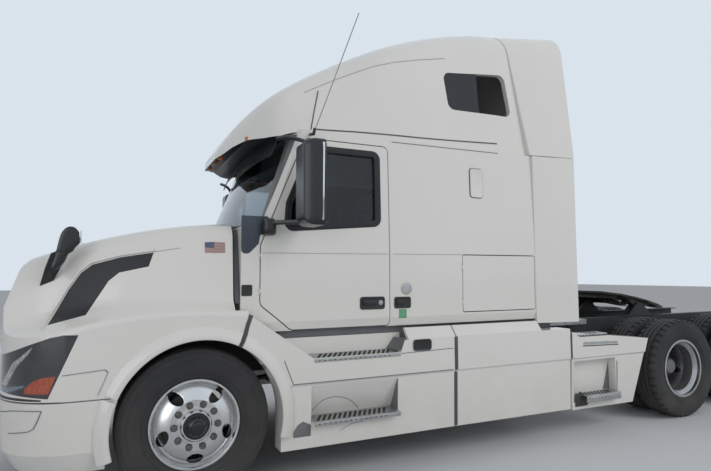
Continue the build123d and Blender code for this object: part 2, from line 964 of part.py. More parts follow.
for side, hand in ((1, "left"), (-1, "right")):
    prism = rounded_side_prism(door_points, door_radii, door_in, 1300)
    window = rounded_side_prism(window_points, window_radii, 980, 1300)
    luggage = rounded_side_prism(luggage_points, 18, 980, 1300, panel_gap / 2)
    if side < 0:
        prism = prism.mirror(Plane.XZ)
        window = window.mirror(Plane.XZ)
        luggage = luggage.mirror(Plane.XZ)
    with BuildPart() as door:
        add(body_shell)
        add(prism, mode=Mode.INTERSECT)
        add(window, mode=Mode.SUBTRACT)
        hinge(door_front_station, side, door_hinge_heights, 1)
    save(door, f"door_{hand}")
    with BuildPart() as pane:
        add(body_prism(20, cab_front_station, sleeper_rear_station, cab_floor_z, cab_top_z))
        add(
            body_prism(20 + glass_thickness, cab_front_station - 1, sleeper_rear_station + 1, cab_floor_z - 1, cab_top_z + 1),
            mode=Mode.SUBTRACT,
        )
        add(window, mode=Mode.INTERSECT)
    save(pane, f"door_glass_{hand}")
    with BuildPart() as luggage_door:
        add(body_shell)
        add(luggage, mode=Mode.INTERSECT)
        hinge(luggage_hinge_station, side, luggage_hinge_heights, 1)
    save(luggage_door, f"luggage_door_{hand}")

with BuildPart() as windshield:
    add(behind_windshield(6))
    add(behind_windshield(6 + glass_thickness, cowl_z - 1, cab_top_z + 1), mode=Mode.SUBTRACT)
    add(windshield_hole, mode=Mode.INTERSECT)
save(windshield, "windshield")


# Roof cap over cab and sleeper

# Cross sections of the roof: (station, base half width, shoulder half width, crown height)
roof_rows = [
    (roof_front_station, 230.0, 215.0, 2590.0),
    (290.0, 410.0, 385.0, 2655.0),
    (340.0, 570.0, 530.0, 2735.0),
    (400.0, 725.0, 675.0, 2812.0),
    (477.0, 870.0, 800.0, 2893.0),
    (560.0, 990.0, 900.0, 2966.0),
    (640.0, 1055.0, 955.0, 3028.0),
    (830.0, 1097.0, 975.0, 3165.0),
    (1250.0, 1097.0, 970.0, 3430.0),
    (1900.0, 1097.0, 965.0, 3745.0),
    (2500.0, 1097.0, 955.0, 3930.0),
    (2950.0, 1097.0, 950.0, 3995.0),
    (sleeper_rear_station, 1097.0, 950.0, 4015.0),
]
roof_base_z = 2440.0
crown_drop = 70.0
# Lower edge of the roof cap at its sides: (station, height)
roof_edge = [
    (roof_front_station - 10, 2530.0),
    (285.0, 2542.0),
    (340.0, 2578.0),
    (420.0, 2605.0),
    (520.0, 2594.0),
    (620.0, 2598.0),
    (700.0, 2622.0),
    (830.0, cab_top_z),
    (sleeper_rear_station + 400, cab_top_z),
]


def roof_slice(station, base, shoulder, crown, inset=0.0):
    """Arch section of the roof at one station."""
    lift = crown - roof_base_z
    corner = min(300.0, lift * 0.32) - inset / 2
    top = crown - inset
    with BuildSketch(cross_plane(station)) as section:
        with BuildLine():
            FilletPolyline(
                (-(base - inset), roof_base_z),
                (-(shoulder - inset), top - crown_drop * lift / 1500),
                (0, top),
                (shoulder - inset, top - crown_drop * lift / 1500),
                (base - inset, roof_base_z),
                radius=[0, corner, 2500 * lift / 1500, corner, 0],
                close=True,
            )
        make_face()
    return section.sketch


def roof_body(inset, rows):
    """Smooth body through the roof's sections."""
    with BuildPart() as body:
        for station, base, shoulder, crown in rows:
            add(roof_slice(station, base, shoulder, crown, inset))
        loft()
    return body.part


roof_under = side_prism(
    roof_edge + [(sleeper_rear_station + 400, 2300.0), (roof_front_station - 10, 2300.0)], -1500, 1500
)
roof_outer = roof_body(0, roof_rows) - roof_under - cab_outer
roof_inner_rows = [(station + (0 if index else 30), *rest) for index, (station, *rest) in enumerate(roof_rows[6:])]
roof_room = roof_body(roof_wall, roof_inner_rows)
roof_room = roof_room - Pos(at(sleeper_rear_station) , 0, 3500) * Box(2 * roof_wall, 4000, 4000)
roof_window = [
    (2159.0, 3365.0, 70),
    (2859.0, 3441.0, 70),
    (2908.0, 3020.0, 70),
    (2196.0, 3015.0, 70),
]
window_points_roof = [(station, height) for station, height, radius in roof_window]
roof_hole = rounded_side_prism(window_points_roof, 70, 700, 1300)
roof_hole = roof_hole + roof_hole.mirror(Plane.XZ)
with BuildPart() as roof_cap:
    add(roof_outer)
    add(roof_room, mode=Mode.SUBTRACT)
    add(roof_hole, mode=Mode.SUBTRACT)
save(roof_cap, "roof_cap")

with BuildPart() as roof_windows:
    add(roof_outer)
    add(roof_body(glass_thickness + 2, roof_rows[4:]), mode=Mode.SUBTRACT)
    add(roof_hole, mode=Mode.INTERSECT)
save(roof_windows, "roof_windows")

# Fairing behind the roof: an arch band that flares out towards the trailer
band_rows = [
    (2860.0, 1099.0, 952.0, 3988.0),
    (extender_rear_station, 1212.0, 1048.0, 4064.0),
]
band_front_edge = [(2700.0, 4100.0), (2897.0, 3990.0), (3072.0, 2640.0), (2700.0, 2640.0)]
with BuildPart() as roof_extender:
    for station, base, shoulder, crown in band_rows:
        add(roof_slice(station, base, shoulder, crown))
    loft(ruled=True)
    with BuildPart(mode=Mode.PRIVATE) as band_room:
        for (station, base, shoulder, crown), step in zip(band_rows, (-1, 1)):
            add(roof_slice(station + step, base, shoulder, crown, extender_wall))
        loft(ruled=True)
    block(2800, 3700, -1500, 1500, 2000, cab_top_z + 5, Mode.SUBTRACT)
    add(side_prism(band_front_edge, -1500, 1500), mode=Mode.SUBTRACT)
    with BuildPart(mode=Mode.PRIVATE) as behind:
        add(band_room.part)
        block(2700, sleeper_rear_station, -1500, 1500, 2000, 4500, Mode.SUBTRACT)
    add(behind.part, mode=Mode.SUBTRACT)
    add(roof_body(0, roof_rows), mode=Mode.SUBTRACT)
save(roof_extender, "roof_extender")

side_extender_plan = [
    (3089.0, 1000.0),
    (3089.0, cab_half + 2),
    (extender_rear_station, extender_rear_half),
    (extender_rear_station, extender_rear_half - extender_wall),
    (sleeper_rear_station, cab_half + 2),
    (sleeper_rear_station, 1000.0),
]
with BuildPart() as side_extenders:
    for side in (1, -1):
        with BuildSketch(Plane.XY.offset(1060)) as outline:
            with BuildLine():
                Polyline(*[(at(station), side * y) for station, y in side_extender_plan], close=True)
            make_face()
        extrude(outline.sketch, amount=cab_top_z - 1060 + 5 - panel_gap)
    add(cab_outer, mode=Mode.SUBTRACT)
    block(3000, sleeper_rear_station, -1090, 1090, 1000, 2700, Mode.SUBTRACT)
save(side_extenders, "side_extenders")


# Bonnet with its fenders

# (station, crown height, shoulder half, shoulder height, waist half, waist height, crease half, crease height)
hood_rows = [
    (360.0, 1925.0, 1035.0, 1893.0, 1114.0, 1338.0, 1212.0, 1243.0),
    (-300.0, 1872.0, 985.0, 1835.0, 1090.0, 1348.0, 1212.0, 1256.0),
    (-765.0, 1765.0, 885.0, 1722.0, 1020.0, 1290.0, 1208.0, 1178.0),
    (-1060.0, 1668.0, 790.0, 1618.0, 930.0, 1200.0, 1180.0, 1082.0),
    (-1290.0, 1570.0, 700.0, 1515.0, 850.0, 1110.0, 1150.0, 985.0),
]
hood_base_z = seam_z - 300
# Front outline in plan: (station, half width)
nose_plan = [(-bumper_to_axle + 4, 0.0), (-1165.0, 860.0), (-1010.0, 1110.0), (-740.0, fender_half)]
# Front outline in side view: (station, height), and the radius at each point
nose_side = [(-1256.0, 300.0), (-1251.0, 830.0), (-1222.0, 1150.0), (-1090.0, 1575.0), (-700.0, 1960.0)]
nose_radii = [0, 600, 250, 110, 400]


def hood_body(inset):
    """Bonnet and fenders as one smooth body, taken in by a wall all round."""
    with BuildPart() as body:
        for row in hood_rows:
            station, crown, shoulder, shoulder_z, waist, waist_z, crease, crease_z = row
            half = [
                (crease - inset, hood_base_z - inset),
                (crease - inset, crease_z - inset * 0.8),
                (waist - inset, waist_z - inset * 0.6),
                (shoulder - inset, shoulder_z - inset),
            ]
            mirrored = [(-y, z) for y, z in reversed(half)]
            with BuildSketch(cross_plane(station + inset * 0)) as section:
                with BuildLine():
                    FilletPolyline(
                        *half,
                        (0, crown - inset),
                        *mirrored,
                        radius=[0, 45, 90, 130, 1500, 130, 90, 45, 0],
                        close=True,
                    )
                make_face()
        loft()
        nose = [(station + inset, half) for station, half in nose_plan]
        with BuildSketch(Plane.XY.offset(400)) as plan:
            with BuildLine():
                start = [(at(station), half - (inset if half else 0)) for station, half in nose]
                back = [(x, -y) for x, y in start]
                ThreePointArc(back[1], start[0], start[1])
                ThreePointArc(start[1], start[2], start[3])
                Polyline(
                    start[3],
                    (at(-740 + inset), 1400),
                    (at(500), 1400),
                    (at(500), -1400),
                    (at(-740 + inset), -1400),
                    back[3],
                )
                ThreePointArc(back[3], back[2], back[1])
            make_face()
        extrude(plan.sketch, amount=2000, mode=Mode.INTERSECT)
        side = [(station + inset, height) for station, height in nose_side]
        with BuildSketch(side_plane(-1500)) as profile:
            with BuildLine():
                FilletPolyline(
                    *side_points([(600.0, nose_side[0][1])] + side + [(600.0, 2400.0)]),
                    radius=[0] + nose_radii + [0],
                    close=True,
                )
            make_face()
        extrude(profile.sketch, amount=-3000, mode=Mode.INTERSECT)
    return body.part


hood_outer = hood_body(0)
hood_room = hood_body(hood_wall)
hood_rear_station = 252.0
fender_end = [(348.0, 1290.0), (299.0, 1020.0), (245.0, 690.0), (700.0, 690.0), (700.0, 1290.0)]


def trimmed_hood(body):
    """Cuts a bonnet body at the seam, the cab and the wheel arches."""
    with BuildPart() as cut:
        add(body)
        block(-1400, 600, -1500, 1500, 0, seam_z, Mode.SUBTRACT)
        block(hood_rear_station, 600, -(cab_half + 10), cab_half + 10, 0, 2500, Mode.SUBTRACT)
        block(hood_rear_station, 600, -1500, 1500, 1268, 2500, Mode.SUBTRACT)
        add(side_prism(fender_end, -1500, 1500), mode=Mode.SUBTRACT)
        for side in (1, -1):
            with Locations((at(arch_station), side * 950, arch_z)):
                Cylinder(arch_radius, 780, rotation=(90, 0, 0), mode=Mode.SUBTRACT)
    return cut.part


hood_shell = trimmed_hood(hood_outer - hood_room)
vent_points = [
    (-283.0, 1674.0),
    (-314.0, 1577.0),
    (-497.0, 1536.0),
    (-560.0, 1480.0),
    (-686.0, 1265.0),
    (-900.0, 1207.0),
    (-795.0, 1423.0),
    (-726.0, 1536.0),
    (-660.0, 1590.0),
    (-489.0, 1640.0),
]
lamp_points = [
    (-718.0, 1150.0),
    (-800.0, 1152.0),
    (-868.0, 1140.0),
    (-1000.0, 1090.0),
    (-1130.0, 1032.0),
    (-1400.0, 925.0),
    (-1400.0, 805.0),
    (-1144.0, 797.0),
    (-873.0, 772.0),
]
vents = side_prism(vent_points, 700, 1300)
vents = vents + vents.mirror(Plane.XZ)
lamps = side_prism(lamp_points, 690, 1300)
lamps = lamps + lamps.mirror(Plane.XZ)
grille_rows = [(480.0, 860.0), (420.0, 1440.0)]
grille_hole = front_opening(grille_rows, -1400, -1000)
hood_hinge_station = -bumper_to_axle + 10
hood_hinge_z = seam_z - seam_gap / 2
hood_hinge_places = [-160.0, 160.0]


def hood_hinge(leaf):
    """Adds one leaf of the bonnet hinge: -1 stands for the fixed leaf and 1 for the moving one."""
    for place in hood_hinge_places:
        for step in [0] if leaf > 0 else [-knuckle_height, knuckle_height]:
            wide = knuckle_height - 2 * running_gap if leaf > 0 else knuckle_height
            with Locations((at(hood_hinge_station), place + step, hood_hinge_z)):
                Cylinder(hinge_radius, wide, rotation=(90, 0, 0))
            with Locations((at(hood_hinge_station + 3), place + step, hood_hinge_z + leaf * 5)):
                Box(8, wide, 10)


with BuildPart() as hood:
    add(hood_shell)
    add(vents, mode=Mode.SUBTRACT)
    add(lamps, mode=Mode.SUBTRACT)
    add(grille_hole, mode=Mode.SUBTRACT)
    hood_hinge(1)
save(hood, "hood")
with BuildPart() as hood_vents:
    add(hood_shell)
    add(vents, mode=Mode.INTERSECT)
save(hood_vents, "hood_vents")
with BuildPart() as headlamps:
    add(hood_shell)
    add(lamps, mode=Mode.INTERSECT)
save(headlamps, "headlamps")
with BuildPart() as grille:
    add(hood_shell)
    add(grille_hole, mode=Mode.INTERSECT)
save(grille, "grille")

# Bumper below the bonnet seam
bumper_side_rear = -540.0


def bumper_body(inset):
    """Bumper outline in plan drawn up to the seam, its lower edge tucked in."""
    with BuildPart() as body:
        for height, tuck in ((bumper_bottom_z, 70.0), (bumper_bottom_z + 130, 12.0), (seam_z - seam_gap, 0.0)):
            take = inset + tuck
            with BuildSketch(Plane.XY.offset(height)) as plan:
                with BuildLine():
                    start = [(at(station + take), half - (take if half else 0)) for station, half in nose_plan]
                    start[0] = (at(-bumper_to_axle + take), 0)
                    back = [(x, -y) for x, y in start]
                    ThreePointArc(back[1], start[0], start[1])
                    ThreePointArc(start[1], start[2], start[3])
                    Polyline(
                        start[3],
                        (at(-400), fender_half - take),
                        (at(-400), -(fender_half - take)),
                        back[3],
                    )
                    ThreePointArc(back[3], back[2], back[1])
                make_face()
        loft(ruled=True)
    return body.part


with BuildPart() as bumper:
    add(bumper_body(0))
    add(bumper_body(bumper_wall), mode=Mode.SUBTRACT)
    for side in (1, -1):
        with Locations((at(arch_station), side * 950, arch_z)):
            Cylinder(arch_radius, 780, rotation=(90, 0, 0), mode=Mode.SUBTRACT)
    block(-550, 0, -1300, 1300, 0, arch_z, Mode.SUBTRACT)
    # Brackets back to the rails
    for side in (1, -1):
        block(
            -bumper_to_axle + bumper_wall - 2,
            rail_front_station,
            side * arm_y - 40,
            side * arm_y + 40,
            rail_bottom - 100,
            rail_bottom - 20,
        )
        block(
            rail_front_station - 10,
            rail_front_station,
            side * arm_y - 40,
            side * arm_y + 40,
            rail_bottom - 100,
            rail_top,
        )
    block(rail_front_station - 60, rail_front_station - 10, -470, 470, rail_bottom - 20, rail_top - 120)
    hood_hinge(-1)
save(bumper, "bumper")


# Skirts with their steps

skirt_in = 1040.0
skirt_tuck = 25.0
skirt_face = fender_half - 2 * skirt_wall
step_reach = 1250.0
# Outlines in side view: (station, height)
step_fairing = [
    (356.0, 1232.0),
    (821.0, 905.0),
    (829.0, 900.0),
    (1568.0, 900.0),
    (1605.0, 992.0),
    (2095.0, 1000.0),
    (2095.0, 255.0),
    (arch_station + arch_radius, 255.0),
    (arch_station + arch_radius, arch_z),
    (300.0, 700.0),
    (307.0, 1020.0),
]
tank_fairing = [(2110.0, 1000.0), (3412.0, 1000.0), (3412.0, 250.0), (2110.0, 255.0)]
tail_fairing = [(3437.0, 962.0), (4504.0, 856.0), (4286.0, 289.0), (4266.0, 232.0), (3437.0, 236.0)]
# Step wells: (front, rear, tread height, top height)
lower_well = (815.0, 1546.0, 440.0, 700.0)
well_depth = 130.0
tail_well = (3452.0, 4032.0, 300.0, 690.0)
carrier_stations = [700.0, 1640.0, 2040.0, 3490.0, 4110.0]


def fairing(outline, side):
    """One skirt panel: an outer skin with a returned top edge, open below and behind."""
    far = side * skirt_in
    skin = [
        (far, 1300.0),
        (side * fender_half, 1300.0),
        (side * fender_half, 722.0),
        (side * (fender_half - 12), 706.0),
        (side * (fender_half - skirt_tuck), 200.0),
        (far, 200.0),
    ]
    with BuildPart() as panel:
        with BuildSketch(cross_plane(outline[0][0] - 100)) as section:
            with BuildLine():
                Polyline(*skin, close=True)
            make_face()
        extrude(section.sketch, amount=-2000)
        with BuildSketch(side_plane(1500)) as profile:
            with BuildLine():
                Polyline(*side_points(outline), close=True)
            make_face()
            with Locations((at(arch_station), arch_z)):
                Circle(arch_radius, mode=Mode.SUBTRACT)
        extrude(profile.sketch, amount=3000, mode=Mode.INTERSECT)
        with BuildSketch(side_plane(max(side * skirt_face, side * (skirt_in - 10)))) as room:
            with BuildLine():
                Polyline(*side_points(outline), close=True)
            make_face()
            offset(amount=-skirt_wall, kind=Kind.INTERSECTION)
            with Locations((at(arch_station), arch_z)):
                Circle(arch_radius + skirt_wall, mode=Mode.SUBTRACT)
        extrude(room.sketch, amount=skirt_face - skirt_in + 10, mode=Mode.SUBTRACT)
        block(600, 4600, -skirt_face, skirt_face, 200, 300, Mode.SUBTRACT)
        block(200, 900, -(cab_half + 10), cab_half + 10, cab_floor_z - panel_gap, 1400, Mode.SUBTRACT)
    return panel.part


def well(front, rear, tread_z, top_z, side, slope):
    """Adds a step well: a pocket in the skin with a tread on its floor."""
    low, high = sorted((side * (skirt_face - 70), side * (fender_half - skirt_tuck + 1)))
    block(front - 20, rear + 20, low, high, tread_z - 24, top_z + 22)
    low, high = sorted((side * (skirt_face - 50), side * 1300))
    with BuildSketch(side_plane(high)) as pocket:
        with BuildLine():
            Polyline(
                *side_points([(front, tread_z), (front + slope, top_z), (rear - slope, top_z), (rear, tread_z)]),
                close=True,
            )
        make_face()
    extrude(pocket.sketch, amount=high - low, mode=Mode.SUBTRACT)


def wedge_well(front, rear, tread_z, top_z, side):
    """Adds a step well whose back wall slopes in from the skin down to the tread."""
    skin = fender_half - 13
    inner = skin - well_depth
    wall = skirt_wall - 1
    body = [
        (side * (skin - 1), top_z + wall),
        (side * (skin - wall), top_z + wall),
        (side * (inner - wall), tread_z + wall / 2),
        (side * (inner - wall), tread_z - wall),
        (side * (skin - 9), tread_z - wall),
    ]
    pocket = [(side * 1300, top_z), (side * skin, top_z), (side * inner, tread_z), (side * 1300, tread_z)]
    for outline, ends, mode in ((body, wall, Mode.ADD), (pocket, 0, Mode.SUBTRACT)):
        with BuildSketch(cross_plane(front - ends)) as section:
            with BuildLine():
                Polyline(*outline, close=True)
            make_face()
        extrude(section.sketch, amount=-(rear - front + 2 * ends), mode=mode)


def close_out(front, rear, side):
    """Adds the sloping top that closes the gap between a skirt and the body above it."""
    top = cab_floor_z - 2 * panel_gap - 1
    with BuildSketch(cross_plane(front)) as section:
        with BuildLine():
            Polyline(
                (side * fender_half, 980),
                (side * fender_half, 1000),
                (side * (cab_half + 20), top),
                (side * (cab_half - 5), top),
                (side * (fender_half - skirt_wall), 980),
                close=True,
            )
        make_face()
    extrude(section.sketch, amount=-(rear - front))


for side, hand in ((1, "left"), (-1, "right")):
    with BuildPart() as skirts:
        add(fairing(step_fairing, side))
        wedge_well(*lower_well, side)
        low, high = sorted((side * skirt_in, side * (skirt_in + 20)))
        block(640, 1640, low, high, 890, 1040)
        close_out(1640, 2095, side)
        add(fairing(tank_fairing, side))
        close_out(2110, 3060, side)
        add(fairing(tail_fairing, side))
        well(*tail_well, side, 12)
    save(skirts, f"skirts_{hand}")

# Treads: (front, rear, underside height, inner half width, outer half width)
tread_thickness = 14.0
tread_rows = [
    (840.0, 1556.0, 900.0, skirt_in + 26, fender_half + 6),
    (823.0, 1539.0, 440.0, fender_half - well_depth, step_reach),
    (3529.0, 3960.0, 300.0, skirt_face - 50, step_reach),
]
with BuildPart() as step_treads:
    for front, rear, height, inner, outer in tread_rows:
        for side in (1, -1):
            low, high = sorted((side * inner, side * outer))
            block(front, rear, low, high, height, height + tread_thickness)
save(step_treads, "step_treads")

# Fuel tanks in their saddles
saddle_stations = [2350.0, 2755.0, 3160.0]
with BuildPart() as fuel_tanks:
    for side in (1, -1):
        with Locations((at((tank_front_station + tank_rear_station) / 2), side * tank_y, tank_z)):
            Cylinder(tank_radius, tank_rear_station - tank_front_station, rotation=(0, 90, 0))
save(fuel_tanks, "fuel_tanks")
with BuildPart() as skirt_brackets:
    for station in carrier_stations:
        for side in (1, -1):
            low, high = sorted((side * rail_outer, side * skirt_face))
            block(station - 25, station + 25, low, high, 745, 825)
    for station in saddle_stations:
        for side in (1, -1):
            low, high = sorted((side * rail_outer, side * skirt_face))
            block(station - 30, station + 30, low, high, tank_z + tank_radius - 20, rail_top - 35)
            low, high = sorted((side * rail_outer, side * (tank_y - 60)))
            block(station - 30, station + 30, low, high, tank_z - 160, rail_top - 35)
    for side in (1, -1):
        with Locations((at((tank_front_station + tank_rear_station) / 2), side * tank_y, tank_z)):
            Cylinder(tank_radius, 2000, rotation=(0, 90, 0), mode=Mode.SUBTRACT)
save(skirt_brackets, "skirt_brackets")

# Rear deck, mudflaps and tail lamps
with BuildPart() as rear_deck:
    block(3640, 4300, -620, 620, rail_top, rail_top + 12)
    for side in (1, -1):
        low, high = sorted((side * rail_outer, side * 620))
        block(3640, 4300, low, high, rail_top - 40, rail_top)
save(rear_deck, "rear_deck")

flap_station = 7020.0
with BuildPart() as mudflaps:
    for side in (1, -1):
        low, high = sorted((side * rail_outer, side * 1225))
        block(flap_station, flap_station + 40, low, high, 850, 900)
        low, high = sorted((side * 640, side * 1225))
        block(flap_station + 10, flap_station + 22, low, high, 270, 860)
save(mudflaps, "mudflaps")

with BuildPart() as tail_lamps:
    block(rear_station - 90, rear_station - 20, -640, 640, rail_bottom - 110, rail_bottom)
    for side in (1, -1):
        for y in (340, 480, 600):
            with Locations((at(rear_station - 10), side * y * 0.98, rail_bottom - 55)):
                Cylinder(46, 20, rotation=(0, 90, 0))
save(tail_lamps, "tail_lamps")


# Fifth wheel

fifth_pin_radius = 20.0
fifth_plate = 24.0
rib_low = 362.0
rib_high = 414.0
cheek_gap = 7.0
cheek_wall = 22.0
throat_radius = 27.0
pivot_height = fifth_wheel_top_z - fifth_wheel_pivot_z
with BuildPart() as fifth_wheel_base:
    for side in (1, -1):
        inner = rib_low - cheek_gap - cheek_wall
        outer = rib_high + cheek_gap + cheek_wall
        low, high = sorted((side * inner, side * outer))
        block(fifth_wheel_station - 280, fifth_wheel_station + 280, low, high, rail_top, rail_top + 16)
        for wall in (inner, rib_high + cheek_gap):
            low, high = sorted((side * wall, side * (wall + cheek_wall)))
            with BuildSketch(side_plane(high)) as cheek:
                with BuildLine():
                    Polyline(
                        *side_points(
                            [
                                (fifth_wheel_station - 200, rail_top + 10),
                                (fifth_wheel_station - 38, fifth_wheel_pivot_z + 30),
                                (fifth_wheel_station + 38, fifth_wheel_pivot_z + 30),
                                (fifth_wheel_station + 200, rail_top + 10),
                            ]
                        ),
                        close=True,
                    )
                make_face()
            extrude(cheek.sketch, amount=high - low)
        with Locations((at(fifth_wheel_station), side * (inner + outer) / 2, fifth_wheel_pivot_z)):
            Cylinder(fifth_pin_radius, outer - inner, rotation=(90, 0, 0))
save(fifth_wheel_base, "fifth_wheel_base")

# Top plate seen from above, as (distance behind the pivot, half width)
plate_plan = [
    (-430.0, 210.0),
    (-300.0, 400.0),
    (-100.0, fifth_wheel_half),
    (150.0, fifth_wheel_half),
    (420.0, 400.0),
    (590.0, 330.0),
    (590.0, 200.0),
    (180.0, throat_radius + 4),
    (30.0, throat_radius),
]
with BuildPart() as level_plate:
    with BuildSketch(Plane.XY.offset(pivot_height - fifth_plate)) as plan:
        with BuildLine():
            Polyline(
                *[(-u, y) for u, y in plate_plan],
                *[(-u, -y) for u, y in reversed(plate_plan)],
                close=True,
            )
        make_face()
        with Locations((-30, 0)):
            Circle(throat_radius, mode=Mode.SUBTRACT)
    extrude(plan.sketch, amount=fifth_plate)
    for side in (1, -1):
        low, high = sorted((side * rib_low, side * rib_high))
        with BuildSketch(side_plane(high)) as rib:
            with BuildLine():
                Polyline(
                    (-240, pivot_height - fifth_plate + 2),
                    (240, pivot_height - fifth_plate + 2),
                    (44, -34),
                    (-44, -34),
                    close=True,
                )
            make_face()
            Circle(fifth_pin_radius + running_gap, mode=Mode.SUBTRACT)
        extrude(rib.sketch, amount=high - low)
    # Stiffening ribs under the plate
    for u in (-300, 120):
        with Locations((-u, 0, pivot_height - fifth_plate - 20)):
            Box(22, 2 * rib_low - 40 if u < 0 else 2 * rib_low, 44)
    with Locations((-330, 0, pivot_height - fifth_plate - 30)):
        Box(660, 2 * (throat_radius + 60), 80, mode=Mode.SUBTRACT)
with BuildPart() as fifth_wheel:
    with Locations(Location((at(fifth_wheel_station), 0, fifth_wheel_pivot_z), (0, -fifth_wheel_tilt, 0))):
        add(level_plate.part)
save(fifth_wheel, "fifth_wheel")


# Inside the cab

seat_y = 520.0
with BuildPart() as seats:
    for side in (1, -1):
        y = side * seat_y
        block(1130, 1450, y - 190, y + 190, cab_floor_z + cab_wall, 1440)
        with Locations((at(1300), y, 1510)):
            Box(540, 520, 140)
        fillet(seats.edges().filter_by(Axis.X).group_by(Axis.Z)[-1], 40)
        with BuildSketch(side_plane(y + 250)) as back:
            with BuildLine():
                FilletPolyline(
                    *side_points([(1460, 1540), (1560, 2280), (1650, 2280), (1600, 1540)]),
                    radius=[0, 40, 40, 0],
                    close=True,
                )
            make_face()
        extrude(back.sketch, amount=500)
save(seats, "seats")

with BuildPart() as dashboard:
    with BuildSketch(side_plane(1024)) as profile:
        with BuildLine():
            FilletPolyline(
                *side_points(
                    [
                        (cab_front_station + cab_wall, 1330),
                        (cab_front_station + cab_wall, cowl_z - 2),
                        (560, cowl_z - 2),
                        (700, 1800),
                        (690, 1620),
                        (640, 1430),
                        (500, 1330),
                    ]
                ),
                radius=[0, 0, 60, 50, 60, 40, 0],
                close=True,
            )
        make_face()
    extrude(profile.sketch, amount=2048)

bunk_top_z = 1850.0
with BuildPart() as bunk:
    block(2200, sleeper_rear_station - cab_wall, -1050, 1050, luggage_top_z + 20, luggage_top_z + 50)
    block(2200, 2225, -1050, 1050, cab_floor_z + cab_wall, luggage_top_z + 21)
    block(2230, sleeper_rear_station - cab_wall - 20, -1020, 1020, luggage_top_z + 49, bunk_top_z)
save(bunk, "bunk")

# Steering column and wheel
wheel_station = 880.0
wheel_z = 1800.0
wheel_lean = 38.0
wheel_radius = 225.0
wheel_rim = 16.0
column_radius = 34.0
column_length = 330.0
lean = math.radians(wheel_lean)
column_dir = (-math.sin(lean), 0, math.cos(lean))
wheel_centre = (at(wheel_station), seat_y, wheel_z)


def along_column(distance):
    """Plane square to the steering column at a distance below the wheel."""
    origin = tuple(c - distance * d for c, d in zip(wheel_centre, column_dir))
    return Plane(origin=origin, x_dir=(0, 1, 0), z_dir=column_dir)


with BuildPart() as steering_column:
    with BuildSketch(along_column(70 + running_gap)) as tube:
        Circle(column_radius)
    extrude(tube.sketch, amount=-column_length)
    add(dashboard.part, mode=Mode.SUBTRACT)
column_piece = steering_column.part.solids().sort_by(Axis.Z)[-1]
with BuildPart() as dashboard_and_column:
    add(dashboard.part)
    add(column_piece)
save(dashboard_and_column, "dashboard")

with BuildPart() as steering_wheel:
    with BuildSketch(along_column(0)) as hub:
        Circle(62)
    extrude(hub.sketch, amount=-40)
    with BuildSketch(along_column(0)) as boss:
        Circle(column_radius - 4)
    extrude(boss.sketch, amount=-70)
    with BuildSketch(along_column(20)) as spokes:
        for turn in (0, 120, 240):
            with Locations(Rot(0, 0, turn)):
                with Locations((wheel_radius / 2, 0)):
                    Rectangle(wheel_radius, 34)
    extrude(spokes.sketch, amount=12)
    rim_plane = Plane(origin=wheel_centre, x_dir=(0, 1, 0), z_dir=column_dir)
    with Locations(rim_plane.location):
        Torus(wheel_radius, wheel_rim)
save(steering_wheel, "steering_wheel")


# Mirrors

def rod(start, end, radius):
    """Adds a round rod between two points."""
    reach = tuple(b - a for a, b in zip(start, end))
    with BuildSketch(Plane(origin=start, z_dir=reach)) as round_end:
        Circle(radius)
    extrude(round_end.sketch, amount=math.dist(start, end))


mirror_in = 1235.0
mirror_out = 1505.0
mirror_front_station = 651.0
mirror_rear_station = 819.0
mirror_low_z = 1860.0
mirror_top_z = 2490.0
for side, hand in ((1, "left"), (-1, "right")):
    with BuildPart() as mirror:
        low, high = sorted((side * mirror_in, side * mirror_out))
        block(mirror_front_station, mirror_rear_station, low, high, mirror_low_z, mirror_top_z)
        fillet(mirror.edges().filter_by(Axis.Z).sort_by(Axis.X)[2:], 55)
        fillet(mirror.edges().filter_by(Axis.Y), 40)
        rod((at(800), side * 1085, 2545), (at(740), side * 1430, 2430), 17)
        rod((at(525), side * 1095, 1845), (at(482), side * 1185, 1893), 19)
        rod((at(482), side * 1185, 1893), (at(740), side * 1330, 1900), 19)
        add(cab_outer, mode=Mode.SUBTRACT)
    save(mirror, f"mirror_{hand}")

# Smoked visor hung in front of the windshield, below the roof's nose
visor_reach = 70.0
with BuildPart() as visor:
    add(behind_windshield(-visor_reach))
    add(behind_windshield(glass_thickness - visor_reach), mode=Mode.SUBTRACT)
    block(300, 1000, -930, 930, 2452, 2640, Mode.INTERSECT)
    add(roof_outer, mode=Mode.SUBTRACT)
    add(cab_outer, mode=Mode.SUBTRACT)
save(visor, "visor")

with BuildPart() as hood_mirrors:
    for side in (1, -1):
        rod((at(-870), side * 800, 1470), (at(-845), side * 960, 1640), 20)
        with Locations((at(-835), side * 965, 1735)):
            Box(110, 150, 220)
    add(hood_outer, mode=Mode.SUBTRACT)
save(hood_mirrors, "hood_mirrors")
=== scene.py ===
# %% [markdown]
# A road tractor with a high-roof sleeper is dressed here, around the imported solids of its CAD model.
# The solids are the frame: every piece made in this file sits on them, in metres,
# with x forward, y to the left and z up from the ground.
# Lengths along the truck are easier to read as stations, the distance behind the front axle.

import math

import bmesh
import bpy
from mathutils import Matrix, Vector


